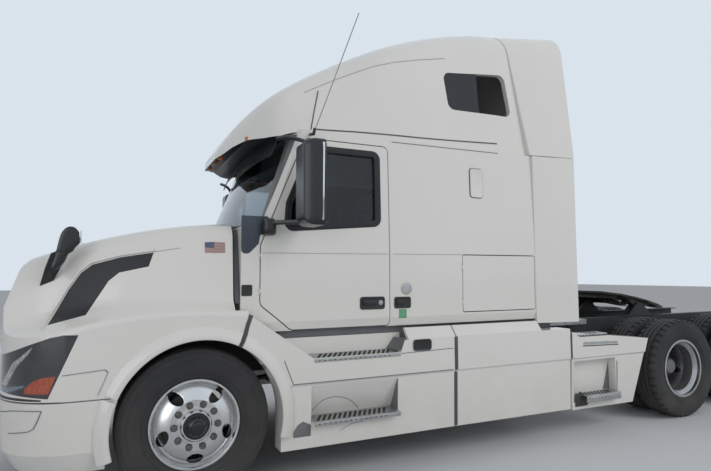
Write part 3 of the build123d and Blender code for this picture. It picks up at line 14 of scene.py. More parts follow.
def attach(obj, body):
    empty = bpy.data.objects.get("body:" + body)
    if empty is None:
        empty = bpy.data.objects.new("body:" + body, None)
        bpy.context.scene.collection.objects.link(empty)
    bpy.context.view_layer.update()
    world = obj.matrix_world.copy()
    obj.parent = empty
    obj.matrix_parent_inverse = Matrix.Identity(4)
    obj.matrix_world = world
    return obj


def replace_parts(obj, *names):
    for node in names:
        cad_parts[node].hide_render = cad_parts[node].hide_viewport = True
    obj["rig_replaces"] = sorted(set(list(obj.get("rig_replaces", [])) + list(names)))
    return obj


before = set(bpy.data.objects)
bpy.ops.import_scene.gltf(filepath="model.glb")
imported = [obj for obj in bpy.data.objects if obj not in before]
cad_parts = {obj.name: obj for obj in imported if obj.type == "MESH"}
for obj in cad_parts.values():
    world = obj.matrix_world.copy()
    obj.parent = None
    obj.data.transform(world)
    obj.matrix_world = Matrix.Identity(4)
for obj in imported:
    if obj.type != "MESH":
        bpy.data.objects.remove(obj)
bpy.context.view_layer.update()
front_axle_x = 3.02
axle_z = 0.51


def at(station, y, z):
    """A point of the truck from its station behind the front axle, all in metres."""
    return Vector((front_axle_x - station, y, z))


# %% [markdown]
# The photograph was taken with a phone held at chest height, beside the front wheel,
# looking back along the truck and a little upwards.
# A camera is a place, a direction and a lens, so the three are set from the fitted numbers.

# %% The camera
turn, tilt, roll = math.radians(25.119), math.radians(4.2607), math.radians(-0.177)
ahead = Vector((-math.sin(turn) * math.cos(tilt), -math.cos(turn) * math.cos(tilt), math.sin(tilt)))
across = Vector((-math.cos(turn), math.sin(turn), 0))
upward = across.cross(ahead)
across_rolled = across * math.cos(roll) + upward * math.sin(roll)
upward_rolled = upward * math.cos(roll) - across * math.sin(roll)
view_matrix = Matrix((across_rolled, upward_rolled, -ahead)).transposed().to_4x4()
camera_place = (3.582, 4.905, 1.517)
view_matrix.translation = camera_place
camera_data = bpy.data.cameras.new("camera")
camera_data.sensor_width, camera_data.lens, camera_data.clip_end = 36, 26.62, 200
camera = bpy.data.objects.new("camera", camera_data)
bpy.context.scene.collection.objects.link(camera)
camera.matrix_world = view_matrix
bpy.context.scene.camera = camera
bpy.context.scene.view_settings.view_transform = "Standard"
print("camera at", tuple(round(v, 3) for v in camera.location), "lens", camera_data.lens)

# %% [markdown]
# Finishes are built from few kinds of node, so each kind gets a short function. A value may be
# a number or the socket of another node, and a place on the truck comes from object coordinates.

# %% Nodes by function


def fed(tree, socket, value):
    """Sets a socket to a number or a colour, or links another socket to it."""
    if isinstance(value, (int, float)):
        socket.default_value = value
    elif isinstance(value, tuple):
        socket.default_value = (*value, 1)
    else:
        tree.links.new(value, socket)


def maths(tree, kind, first, second=0.0):
    """A Math node; first and second are numbers or sockets."""
    node = tree.nodes.new("ShaderNodeMath")
    node.operation = kind
    fed(tree, node.inputs[0], first)
    fed(tree, node.inputs[1], second)
    return node.outputs[0]


def spread(tree, value, low, high, out_low=0.0, out_high=1.0):
    """A Map Range node that stays within its ends."""
    node = tree.nodes.new("ShaderNodeMapRange")
    for label, given in zip(("Value", "From Min", "From Max", "To Min", "To Max"),
                            (value, low, high, out_low, out_high)):
        fed(tree, node.inputs[label], given)
    return node.outputs["Result"]


def mixed(tree, mask, low, high):
    """A colour between low and high by mask; each is a colour or a socket."""
    node = tree.nodes.new("ShaderNodeMix")
    node.data_type = "RGBA"
    tree.links.new(mask, node.inputs["Factor"])
    fed(tree, node.inputs[6], low)
    fed(tree, node.inputs[7], high)
    return node.outputs[2]


def places(tree):
    """The x, y and z of a point on the truck, as sockets."""
    parts = tree.nodes.new("ShaderNodeSeparateXYZ")
    tree.links.new(tree.nodes.new("ShaderNodeTexCoord").outputs["Object"], parts.inputs["Vector"])
    return parts.outputs["X"], parts.outputs["Y"], parts.outputs["Z"]


def noise(tree, scale, detail, rough=0.5):
    """A noise that stays with the truck."""
    node = tree.nodes.new("ShaderNodeTexNoise")
    tree.links.new(tree.nodes.new("ShaderNodeTexCoord").outputs["Object"], node.inputs["Vector"])
    for label, given in (("Scale", scale), ("Detail", detail), ("Roughness", rough)):
        fed(tree, node.inputs[label], given)
    return node.outputs["Fac"]


def bumped(tree, height, strength, distance):
    """Raises a material's surface by a height mask."""
    bump = tree.nodes.new("ShaderNodeBump")
    for label, given in (("Strength", strength), ("Distance", distance), ("Height", height)):
        fed(tree, bump.inputs[label], given)
    tree.links.new(bump.outputs["Normal"], tree.nodes["Principled BSDF"].inputs["Normal"])


def principled(name):
    """A new material, with its tree and the inputs of its shader."""
    material = bpy.data.materials.new(name)
    material.use_nodes = True
    tree = material.node_tree
    return material, tree, tree.nodes["Principled BSDF"].inputs


print("node functions:", [f.__name__ for f in (maths, spread, mixed, places, noise, bumped)])

# %% [markdown]
# White paint only reads as white when the light is even, so the world does most of the lighting
# and one wide lamp from behind the cab gives the body its soft modelling, as the sun does.
# What the camera, the gloss and the glass see of the world is a pale sheet, set apart with Light Path.

# %% The world and the lamps
lamp_size = 7
world = bpy.data.worlds.new("studio")
bpy.context.scene.world = world
world.use_nodes = True
tree = world.node_tree
tree.nodes.clear()
rays = tree.nodes.new("ShaderNodeLightPath").outputs
seen_rays = maths(tree, "MAXIMUM", maths(tree, "MAXIMUM", rays["Is Camera Ray"], rays["Is Glossy Ray"]),
                  rays["Is Transmission Ray"])
sky_mix = tree.nodes.new("ShaderNodeMixShader")
tree.links.new(seen_rays, sky_mix.inputs["Fac"])
for place, colour, strength in ((1, (0.96, 0.97, 1.0), 0.42), (2, (0.7, 0.77, 0.84), 1.0)):
    sheet = tree.nodes.new("ShaderNodeBackground")
    fed(tree, sheet.inputs["Color"], colour)
    fed(tree, sheet.inputs["Strength"], strength)
    tree.links.new(sheet.outputs[0], sky_mix.inputs[place])
tree.links.new(sky_mix.outputs[0], tree.nodes.new("ShaderNodeOutputWorld").inputs["Surface"])

# No lamp shows through glass. In gloss only the fill shows, because the others leave hard-edged patches.
for name, place, aim, power, mirrored in (
    ("key_lamp", (-6, 11, 9), (0, 0, 1.5), 540, False),
    ("fill_lamp", (10, 9, 3.5), (1.5, 0, 1.3), 185, True),
    ("far_lamp", (-2, -10, 7), (0, 0, 1.5), 240, False),
):
    data = bpy.data.lights.new(name, "AREA")
    data.size, data.energy, data.specular_factor = lamp_size, power, 0.5
    lamp = bpy.data.objects.new(name, data)
    bpy.context.scene.collection.objects.link(lamp)
    lamp.location = place
    lamp.rotation_euler = (Vector(aim) - Vector(place)).to_track_quat("-Z", "Y").to_euler()
    lamp.visible_transmission, lamp.visible_glossy = False, mirrored

# %% [markdown]
# The yard is left out. A wide, plain sheet stands for the ground. It is so large that its edge
# lies near the horizon, which is simpler than a curved backdrop and looks the same from every side.

# %% The floor
floor_size = 120


def nothing_selected():
    """Back to object mode with no object selected, so an operator acts on the next one only."""
    if bpy.context.mode != "OBJECT":
        bpy.ops.object.mode_set(mode="OBJECT")
    bpy.ops.object.select_all(action="DESELECT")


nothing_selected()
bpy.ops.mesh.primitive_plane_add(size=floor_size, location=(0, 0, 0))
floor = bpy.context.object
floor.name = "floor"
floor_paper, tree, shader = principled("floor_paper")
fed(tree, shader["Base Color"], (0.66, 0.68, 0.7))
fed(tree, shader["Roughness"], 0.85)
floor.data.materials.append(floor_paper)
print("floor:", floor.dimensions[:])

# %% [markdown]
# Several finishes share the same effects: cloudy tone, road dust low on the body, fine grain
# and worn edges. Each is a node group, built once and placed in every material with its own values.

# %% Shared effects


def effect(name, label, **values):
    """A node group with number inputs; returns it, its inputs as sockets and its output by label."""
    group = bpy.data.node_groups.new(name, "ShaderNodeTree")
    for given, value in values.items():
        group.interface.new_socket(given, in_out="INPUT", socket_type="NodeSocketFloat").default_value = value
    group.interface.new_socket(label, in_out="OUTPUT", socket_type="NodeSocketFloat")
    inputs = group.nodes.new("NodeGroupInput").outputs
    return group, inputs, group.nodes.new("NodeGroupOutput").inputs[label]


cloudy, given, result = effect("cloudy_tone", "Mask", Scale=2.0, Contrast=0.5)
half = maths(cloudy, "MULTIPLY", given["Contrast"], 0.5)
tone = spread(cloudy, noise(cloudy, given["Scale"], 5), maths(cloudy, "SUBTRACT", 0.5, half),
              maths(cloudy, "ADD", 0.5, half))
cloudy.links.new(tone, result)

dusty, given, result = effect("road_dust", "Mask", Bottom=0.15, Top=1.1, Scale=3.0)
height = spread(dusty, places(dusty)[2], given["Bottom"], given["Top"], 1.0, 0.0)
patchy = spread(dusty, noise(dusty, given["Scale"], 8, 0.65), 0.3, 0.75)
dusty.links.new(maths(dusty, "MULTIPLY", height, patchy), result)

grainy, given, result = effect("fine_grain", "Height", Scale=300.0)
grainy.links.new(noise(grainy, given["Scale"], 3), result)

worn, given, result = effect("worn_edges", "Mask", Sharp=0.52, Scale=25.0)
edges = spread(worn, worn.nodes.new("ShaderNodeNewGeometry").outputs["Pointiness"], given["Sharp"], 0.62)
patchy = spread(worn, noise(worn, given["Scale"], 6), 0.4, 0.6)
worn.links.new(maths(worn, "MULTIPLY", edges, patchy), result)
print("shared effects:", [g.name for g in bpy.data.node_groups])

# %% [markdown]
# A finish is one material. Its colour is clouded between two tones, dusted towards the ground
# and rubbed bright on its edges, its roughness follows the same masks, and its grain is a bump.
# Numbers that are the same all over stay on the shader's own sockets.

# %% A finish from its values
dust_colour, worn_colour = (0.42, 0.39, 0.34), (0.5, 0.5, 0.5)
dust_roughness, grain_strength, coat_roughness, paint_coat = 0.3, 0.5, 0.06, 0.7


def placed(tree, group, **values):
    """A shared effect placed in a material with its values; returns its output."""
    node = tree.nodes.new("ShaderNodeGroup")
    node.node_tree = group
    for label, value in values.items():
        node.inputs[label].default_value = value
    return node.outputs[0]


def finish(name, light, dark, rough, metal=0.0, coat=0.0, tone=2.0, dust=0.0, dust_top=1.2,
           grain=0.0, grain_scale=300.0, wear=0.0):
    """A material: two tones, the roughness of each, and the strengths of its effects."""
    material, tree, shader = principled(name)
    cloud = placed(tree, cloudy, Scale=tone)
    colour = mixed(tree, cloud, dark, light)
    roughness = spread(tree, cloud, 0.0, 1.0, rough[1], rough[0])
    if dust:
        mask = maths(tree, "MULTIPLY", placed(tree, dusty, Top=dust_top), dust)
        colour = mixed(tree, mask, colour, dust_colour)
        roughness = maths(tree, "ADD", roughness, maths(tree, "MULTIPLY", mask, dust_roughness))
    if wear:
        colour = mixed(tree, maths(tree, "MULTIPLY", placed(tree, worn), wear), colour, worn_colour)
    for label, value in (("Base Color", colour), ("Roughness", roughness), ("Metallic", metal),
                         ("Coat Weight", coat), ("Coat Roughness", coat_roughness)):
        fed(tree, shader[label], value)
    if grain:
        bumped(tree, placed(tree, grainy, Scale=grain_scale), grain_strength, grain)
    return material


white_paint = finish("white_paint", (0.8, 0.79, 0.755), (0.765, 0.755, 0.72), (0.28, 0.36), coat=paint_coat,
                     tone=0.9, dust=0.3, dust_top=1.0, grain=0.0006, grain_scale=60)
black_trim = finish("black_trim", (0.03, 0.031, 0.033), (0.018, 0.018, 0.02), (0.45, 0.6),
                    dust=0.12, grain=0.0008, grain_scale=450)
shiny_black = finish("shiny_black", (0.014, 0.014, 0.016), (0.008, 0.008, 0.009), (0.12, 0.2), coat=0.4)
chassis_black = finish("chassis_black", (0.034, 0.034, 0.036), (0.026, 0.026, 0.028), (0.55, 0.7),
                       dust=0.1, dust_top=1.3, grain=0.0006, grain_scale=70)
cast_iron = finish("cast_iron", (0.075, 0.07, 0.066), (0.045, 0.042, 0.04), (0.6, 0.75), metal=0.3, tone=5,
                   dust=0.3, dust_top=1.4, grain=0.0015, grain_scale=110, wear=0.15)
rubber = finish("tyre_rubber", (0.036, 0.035, 0.036), (0.024, 0.024, 0.025), (0.65, 0.8), tone=5,
                dust=0.1, dust_top=0.9, grain=0.0012, grain_scale=220)
flap_rubber = finish("flap_rubber", (0.035, 0.035, 0.036), (0.018, 0.018, 0.019), (0.6, 0.8), tone=4,
                     dust=0.5, dust_top=0.9, grain=0.003, grain_scale=160)
polished_alloy = finish("polished_alloy", (0.8, 0.8, 0.8), (0.66, 0.66, 0.66), (0.16, 0.3), metal=1.0,
                        tone=7, dust=0.25, dust_top=0.9, grain=0.0008, grain_scale=200)
dull_alloy = finish("dull_alloy", (0.62, 0.62, 0.61), (0.42, 0.42, 0.41), (0.35, 0.5), metal=1.0, tone=14,
                    dust=0.35, grain=0.001, grain_scale=350)
trim_grey = (0.13, 0.125, 0.12)
cab_trim = finish("cab_trim", trim_grey, (0.1, 0.097, 0.092), (0.55, 0.65), grain=0.001, grain_scale=500)
dash_trim = finish("dash_trim", (0.05, 0.05, 0.052), (0.035, 0.035, 0.037), (0.5, 0.65), grain=0.001,
                   grain_scale=500)
visor_plastic = finish("visor_plastic", (0.012, 0.014, 0.018), (0.008, 0.01, 0.013), (0.35, 0.45), tone=3,
                       grain=0.0004)
print("finishes so far:", len(bpy.data.materials))

# %% [markdown]
# Glass is a shader of its own: it lets light through instead of scattering it.
# The windscreen is nearly clear, the door glass grey and the roof and sleeper panes almost black,
# so there are three tints of one glass. A cloud of fine dust keeps them from looking like a hole.

# %% Glass and lamp lenses


def glass(name, tint, shade, rough=(0.02, 0.08), clear=1.0):
    """A see-through material between two tints."""
    material, tree, shader = principled(name)
    cloud = placed(tree, cloudy, Scale=3.0, Contrast=0.6)
    for label, value in (("Base Color", mixed(tree, cloud, shade, tint)), ("Transmission Weight", clear),
                         ("Roughness", spread(tree, cloud, 0.0, 1.0, rough[1], rough[0])), ("IOR", 1.45)):
        fed(tree, shader[label], value)
    return material


windscreen_glass = glass("windscreen_glass", (0.5, 0.58, 0.63), (0.45, 0.53, 0.58))
door_glass = glass("door_glass", (0.42, 0.45, 0.47), (0.36, 0.39, 0.41))
dark_glass = glass("dark_glass", (0.03, 0.033, 0.037), (0.024, 0.027, 0.03), clear=0.04)
amber_lens = glass("amber_lens", (0.95, 0.32, 0.05), (0.85, 0.25, 0.04), (0.1, 0.2), clear=0.35)
red_lens = glass("red_lens", (0.62, 0.02, 0.015), (0.5, 0.015, 0.01), (0.1, 0.2), clear=0.3)
print("glass:", [m.name for m in bpy.data.materials if "glass" in m.name or "lens" in m.name])

# %% [markdown]
# Some solids are painted white on one side only. The cab and the doors are grey inside, from half way
# through the wall, and the roof cap, which reaches forward like the peak of a cap, is painted near black
# underneath as painted shade. A mask on the place or on the direction of the surface tells the two apart.

# %% Paint on one side, and painted shade under the roof's peak


def two_tone(name, mask_from, second):
    """White paint with a second colour, without a coat, where the mask is 1."""
    material = white_paint.copy()
    material.name = name
    tree = material.node_tree
    shader = tree.nodes["Principled BSDF"].inputs
    mask = mask_from(tree)
    fed(tree, shader["Base Color"], mixed(tree, mask, shader["Base Color"].links[0].from_socket, second))
    fed(tree, shader["Coat Weight"], maths(tree, "MULTIPLY", maths(tree, "SUBTRACT", 1.0, mask), paint_coat))
    return material


def inside_box(half_width, first, last, lowest, highest):
    """A mask: 1 within a half width, two stations and two heights."""
    def mask_from(tree):
        x, y, z = places(tree)
        inside = maths(tree, "LESS_THAN", maths(tree, "ABSOLUTE", y), half_width)
        for socket, kind, edge in ((x, "LESS_THAN", front_axle_x - first), (x, "GREATER_THAN", front_axle_x - last),
                                   (z, "GREATER_THAN", lowest), (z, "LESS_THAN", highest)):
            inside = maths(tree, "MULTIPLY", inside, maths(tree, kind, socket, edge))
        return inside
    return mask_from


def shade_under_peak(tree):
    """A mask of painted shade: 1 where the surface looks down, at the front."""
    facing = tree.nodes.new("ShaderNodeSeparateXYZ")
    tree.links.new(tree.nodes.new("ShaderNodeNewGeometry").outputs["Normal"], facing.inputs["Vector"])
    return maths(tree, "MULTIPLY", maths(tree, "LESS_THAN", facing.outputs["Z"], -0.12),
                 maths(tree, "GREATER_THAN", places(tree)[0], front_axle_x - 1.0))


cab_paint = two_tone("cab_paint", inside_box(1.062, 0.36, 3.37, 1.12, 2.61), trim_grey)
door_paint = two_tone("door_paint", inside_box(1.082, -2, 4, 0.5, 3.0), trim_grey)
# Painted shade: the roof cap turns near black where its surface looks down under the peak.
roof_paint_with_shade = two_tone("roof_paint_with_shade", shade_under_peak, (0.016, 0.018, 0.021))
print("two-tone finishes:", cab_paint.name, door_paint.name, roof_paint_with_shade.name)

# %% [markdown]
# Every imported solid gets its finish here, by name, and @ stands for left and right. What is only
# a stand-in, such as the box of a mirror, is replaced by a modelled piece further down.
# The headlamps, the driven wheels, the deck and the coupling plate get finishes of their own later.

# %% Finishes on the solids


def dress(material, *names):
    """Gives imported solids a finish; @ in a name stands for both hands."""
    for name in names:
        for hand in ("left", "right"):
            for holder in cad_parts[name.replace("@", hand)].material_slots:
                holder.material = material


for material, names in (
    (white_paint, ("bumper", "hood", "luggage_door_@", "roof_extender", "side_extenders", "skirts_@")),
    (roof_paint_with_shade, ("roof_cap",)),
    (cab_paint, ("cab_shell", "sleeper_shell")),
    (door_paint, ("door_@",)),
    (black_trim, ("grille", "hood_vents", "hood_mirrors", "mirror_@")),
    (chassis_black, ("crossmembers", "frame_rails", "rear_suspension", "skirt_brackets", "front_springs",
                     "radiator", "fifth_wheel_base")),
    (cast_iron, ("drive_axles", "driveline", "engine", "front_axle", "knuckle_@", "tie_rod")),
    (rubber, ("front_tyre_@", "drive_tyres_1_@", "drive_tyres_2_@")),
    (polished_alloy, ("front_wheel_@", "fuel_tanks")),
    (dull_alloy, ("step_treads",)),
    (flap_rubber, ("mudflaps",)),
    (cab_trim, ("seats", "bunk")),
    (dash_trim, ("dashboard", "steering_wheel")),
    (windscreen_glass, ("windshield",)),
    (door_glass, ("door_glass_@",)),
    (dark_glass, ("roof_windows",)),
    (visor_plastic, ("visor",)),
    (red_lens, ("tail_lamps",)),
):
    dress(material, *names)
    print(material.name, "on", *names)

# %% [markdown]
# New pieces are modelled as by hand. Most begin as an outline: a small plane is merged to one point,
# and the point is extruded from corner to corner, as one clicks a profile.
# The outline is then filled and pulled out, or spun round an axle. The alternative, writing vertices
# and faces into a mesh, gives the same shape but shows nothing of how it is built.

# %% Drawing an outline


def active_only(piece):
    """Object mode with this piece selected alone."""
    nothing_selected()
    piece.select_set(True)
    bpy.context.view_layer.objects.active = piece


def opened(piece, kind="VERT", select="SELECT"):
    """Edit mode on a piece, with all or nothing selected; returns its open mesh."""
    active_only(piece)
    bpy.ops.object.mode_set(mode="EDIT")
    bpy.ops.mesh.select_mode(type=kind)
    bpy.ops.mesh.select_all(action=select)
    return bmesh.from_edit_mesh(piece.data)


def pulled(way):
    """Extrudes what is selected by a way."""
    bpy.ops.mesh.extrude_region_move(TRANSFORM_OT_translate={"value": Vector(way)})


def smoothed(piece, angle):
    """Smooth shading up to an angle between faces."""
    active_only(piece)
    bpy.ops.object.shade_smooth_by_angle(angle=math.radians(angle))


def drawn(name, points):
    """A line in edit mode, extruded from point to point; it stays open until it is filled or welded."""
    nothing_selected()
    bpy.ops.mesh.primitive_plane_add(size=0.01, location=points[0])
    piece = bpy.context.object
    piece.name = name
    bpy.ops.object.mode_set(mode="EDIT")
    bpy.ops.mesh.select_all(action="SELECT")
    bpy.ops.mesh.merge(type="CENTER")
    for start, end in zip(points, points[1:]):
        pulled(end - start)
    bpy.ops.mesh.select_all(action="SELECT")
    return piece


def on_side(points, y):
    """Side-view points (station, height) placed at a width; y may be a rule of the height."""
    return [at(s, y(z) if callable(y) else y, z) for s, z in points]


print("outlines are drawn by", drawn.__name__)

# %% [markdown]
# Every piece ends the same way. Its doubles are welded and its faces turned outwards,
# its place goes into its mesh, its sharp edges are rounded a little so that they catch light,
# and it is told which body of the truck carries it. A table keeps each piece's body for its right twin.

# %% Finishing a piece
carried_by = {}
weld, bevel_from = 0.00003, math.radians(40)


def applied(piece, kind, **values):
    """Adds a modifier with its values and applies it."""
    active_only(piece)
    modifier = piece.modifiers.new(kind.lower(), kind)
    for label, value in values.items():
        setattr(modifier, label, value)
    bpy.ops.object.modifier_apply(modifier=modifier.name)
    return piece


def finished(piece, material, body="chassis_and_cab", edge=0.0, angle=35):
    """Welds, turns, places and rounds a piece, and gives it its finish and its body."""
    if bpy.context.mode != "EDIT_MESH":
        active_only(piece)
        bpy.ops.object.mode_set(mode="EDIT")
    bpy.ops.mesh.select_all(action="SELECT")
    bpy.ops.mesh.remove_doubles(threshold=weld)
    bpy.ops.mesh.normals_make_consistent(inside=False)
    active_only(piece)
    bpy.ops.object.transform_apply(location=True, rotation=True, scale=True)
    if edge:
        applied(piece, "BEVEL", width=edge, segments=2, limit_method="ANGLE", angle_limit=bevel_from)
    smoothed(piece, angle)
    piece.data.materials.clear()
    piece.data.materials.append(material)
    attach(piece, body)
    carried_by[piece.name] = body
    return piece


def plate(name, points, depth, material, body="chassis_and_cab", edge=0.002):
    """A flat piece: an outline, filled and pulled out by depth."""
    piece = drawn(name, points)
    bpy.ops.mesh.edge_face_add()
    pulled(depth)
    return finished(piece, material, body, edge)


def side_plate(name, outline, y, depth, material, body="chassis_and_cab", edge=0.002):
    """A plate from its side view (station, height), at a width or a rule of it, depth further left."""
    return plate(name, on_side(outline, y), (0, depth, 0), material, body, edge)


def cross_plate(name, station, outline, depth, material, body="chassis_and_cab", edge=0.002):
    """A plate from its view along the truck (width, height), at a station, depth further forward."""
    return plate(name, [at(station, y, z) for y, z in outline], (depth, 0, 0), material, body, edge)


def turned(name, profile, material, body, steps, station=0.0, angle=35):
    """A turned piece: (radius, y) points spun round a wheel's axle."""
    centre = (front_axle_x - station, 0, axle_z)
    piece = drawn(name, [Vector((centre[0] + r, y, axle_z)) for r, y in profile])
    bpy.ops.mesh.spin(steps=steps, angle=2 * math.pi, center=centre, axis=(0, 1, 0))
    return finished(piece, material, body, angle=angle)


def turned_along(name, profile, centre, material, steps):
    """A turned piece about a line along the truck; profile is (radius, station), centre is (y, z)."""
    piece = drawn(name, [at(s, centre[0] + r, centre[1]) for r, s in profile])
    bpy.ops.mesh.spin(steps=steps, angle=2 * math.pi, center=at(0, *centre), axis=(1, 0, 0))
    return finished(piece, material)


def pipe(name, points, radius, material, body="chassis_and_cab", smooth=True):
    """A bent tube or rod: a curve with a round section, made a mesh before it is finished."""
    nothing_selected()
    curve = bpy.data.curves.new(name, "CURVE")
    curve.dimensions = "3D"
    curve.bevel_depth, curve.bevel_resolution, curve.use_fill_caps = radius, 3, True
    spline = curve.splines.new("NURBS" if smooth else "POLY")
    spline.points.add(len(points) - 1)
    for place, point in zip(spline.points, points):
        place.co = (*point, 1)
    if smooth:
        spline.order_u, spline.use_endpoint_u, spline.resolution_u = 3, True, 6
    piece = bpy.data.objects.new(name, curve)
    bpy.context.scene.collection.objects.link(piece)
    active_only(piece)
    bpy.ops.object.convert(target="MESH")
    return finished(bpy.context.object, material, body)


def twin(piece):
    """The right-hand piece: a copy of the left one's mesh, mirrored across the truck."""
    copy = piece.copy()
    copy.data = piece.data.copy()
    copy.name = piece.name.replace("left", "right")
    bpy.context.scene.collection.objects.link(copy)
    if "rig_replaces" in copy:
        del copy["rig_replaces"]
    active_only(copy)
    copy.scale = (1, -1, 1)
    bpy.ops.object.transform_apply(location=False, rotation=False, scale=True)
    opened(copy)
    bpy.ops.mesh.normals_make_consistent(inside=False)
    nothing_selected()
    body = carried_by[piece.name].replace("left", "right")
    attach(copy, body)
    carried_by[copy.name] = body
    return copy


def twins(*pieces):
    """Right-hand pieces for several left ones."""
    for piece in pieces:
        twin(piece)
    print("both sides:", *[piece.name.replace("_left", "") for piece in pieces])


def replaced_pair(piece, node):
    """Left and right pieces that take the place of the left and right solid."""
    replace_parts(piece, node + "_left")
    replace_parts(twin(piece), node + "_right")


def joined(pieces):
    """Several pieces joined into the first."""
    nothing_selected()
    for piece in pieces:
        piece.select_set(True)
    bpy.context.view_layer.objects.active = pieces[0]
    bpy.ops.object.join()
    return bpy.context.object


print("ways to make a piece:", [f.__name__ for f in (plate, turned, turned_along, pipe, twin)])

# %% [markdown]
# A truck tyre is a casing of revolution: bead, rounded sidewall with thin moulded rings, shoulder
# and a tread with deep grooves all the way round. A torus would miss the shoulder and the beads,
# so half of the section is drawn as a profile, mirrored in its numbers, and spun round the axle.
# The front tyres are ribbed, for steering, and the driven ones have a lug notched into each shoulder.

# %% One tyre
tyre_half_section = [
    (0.2906, 0.0), (0.2906, 0.107), (0.3032, 0.108), (0.311, 0.1165), (0.318, 0.1212), (0.3225, 0.1205),
    (0.3245, 0.1232), (0.343, 0.1313), (0.3445, 0.1297), (0.347, 0.13), (0.3485, 0.1328), (0.376, 0.138),
    (0.402, 0.1396), (0.428, 0.1388), (0.43, 0.137), (0.433, 0.1368), (0.435, 0.1383), (0.456, 0.1352),
    (0.47, 0.132), (0.4715, 0.1295), (0.4755, 0.1285), (0.4775, 0.13), (0.488, 0.1268), (0.4985, 0.1215),
    (0.5045, 0.113), (0.507, 0.105), (0.5085, 0.08), (0.497, 0.0775), (0.497, 0.07), (0.509, 0.0675),
    (0.5097, 0.031), (0.497, 0.0285), (0.497, 0.021), (0.51, 0.0185), (0.51, 0.0),
]
tyre_angle, face_turn, notch_depth = 28, 3, 0.009


def tyre(name, station, y, body, lugs):
    """A tyre at a station and width; lugs notch its shoulders, every third face round."""
    out = [(r, y + w) for r, w in tyre_half_section]
    back = [(r, y - w) for r, w in reversed(tyre_half_section[1:-1])]
    piece = turned(name, out + back + out[:1], rubber, body, 360 // face_turn, station, tyre_angle)
    if lugs:
        shape = opened(piece, "FACE", "DESELECT")
        for face in shape.faces:
            middle = face.calc_center_median()
            along, up = middle.x - (front_axle_x - station), middle.z - axle_z
            place = int(round(math.degrees(math.atan2(up, along)) / face_turn - 0.5))
            face.select_set(math.hypot(along, up) > 0.489 and 0.081 < abs(middle.y - y) < 0.13 and place % 3 == 0)
        bmesh.update_edit_mesh(piece.data)
        bpy.ops.mesh.extrude_region_shrink_fatten(TRANSFORM_OT_shrink_fatten={"value": -notch_depth})
        bpy.ops.mesh.select_mode(type="VERT")
        smoothed(piece, tyre_angle)
    return piece


for hand, side in (("left", 1), ("right", -1)):
    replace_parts(tyre(f"ribbed_tyre_{hand}", 0.0, side * 1.03, f"steer_wheel_{hand}", False), f"front_tyre_{hand}")
    for number, station in ((1, 5.03), (2, 6.35)):
        body = f"twin_wheel_{number}_{hand}"
        outer = tyre(f"lug_tyre_{number}_{hand}_outer", station, side * 1.105, body, True)
        inner = tyre(f"lug_tyre_{number}_{hand}_inner", station, side * 0.765, body, True)
        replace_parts(outer, f"drive_tyres_{number}_{hand}")
print("tyres:", len(carried_by), "faces in one:", len(inner.data.polygons))

# %% [markdown]
# The front wheel is a polished alloy disc wheel, and the first thing seen in the photograph.
# Its disc bulges outwards past the rim, with five oval hand holes, ten nuts on studs
# and a dark cap over the hub with a bright ring. The rim and the disc are turned from their profiles,
# and behind the holes one sees the dark brake drum.

# %% Front wheels
wheel_body = "steer_wheel_left"
wheel_turned = {}
for name, material, steps, profile in (
    ("front_rim_left", polished_alloy, 120, [
        (0.302, 1.137), (0.302, 1.145), (0.2995, 1.148), (0.288, 1.148), (0.2845, 1.1455),
        (0.2815, 1.138), (0.2775, 1.118), (0.264, 1.101), (0.247, 1.09), (0.245, 0.97),
        (0.279, 0.94), (0.28, 0.9125), (0.302, 0.9125), (0.302, 0.922), (0.2898, 0.924),
        (0.2898, 0.942), (0.256, 0.972), (0.256, 1.082), (0.2898, 1.118), (0.2898, 1.137),
        (0.302, 1.137)]),
    ("front_disc_left", polished_alloy, 120, [
        (0.27, 1.095), (0.269, 1.108), (0.264, 1.12), (0.254, 1.133), (0.24, 1.146),
        (0.222, 1.158), (0.202, 1.1675), (0.182, 1.173), (0.168, 1.176), (0.166, 1.18),
        (0.123, 1.18), (0.12, 1.1825), (0.106, 1.1825), (0.106, 1.16), (0.164, 1.159),
        (0.19, 1.154), (0.212, 1.144), (0.234, 1.129), (0.25, 1.112), (0.259, 1.093),
        (0.27, 1.095)]),
    ("hub_cap_left", shiny_black, 64, [
        (0.0, 1.248), (0.034, 1.248), (0.04, 1.2455), (0.044, 1.238), (0.052, 1.235), (0.06, 1.225),
        (0.064, 1.199), (0.082, 1.197), (0.086, 1.178), (0.0, 1.178)]),
    ("hub_ring_left", polished_alloy, 64, [
        (0.084, 1.18), (0.084, 1.196), (0.088, 1.199), (0.095, 1.199), (0.101, 1.194),
        (0.105, 1.185), (0.1055, 1.16), (0.095, 1.16), (0.084, 1.18)]),
    ("hub_and_drum_left", cast_iron, 72, [
        (0.043, 1.16), (0.105, 1.16), (0.164, 1.158), (0.164, 1.135), (0.12, 1.135),
        (0.125, 1.095), (0.21, 1.08), (0.215, 1.07), (0.215, 0.93), (0.201, 0.93),
        (0.201, 1.06), (0.09, 1.09), (0.043, 1.11), (0.043, 1.16)]),
):
    wheel_turned[name] = turned(name, profile, material, wheel_body, steps)
disc_left = wheel_turned.pop("front_disc_left")
twins(*wheel_turned.values())

# %% [markdown]
# A hand hole is an oval cut square through the disc. One hole points straight down. All five are cut
# with one set of oval cutters, which is quicker than shaping them in the disc.

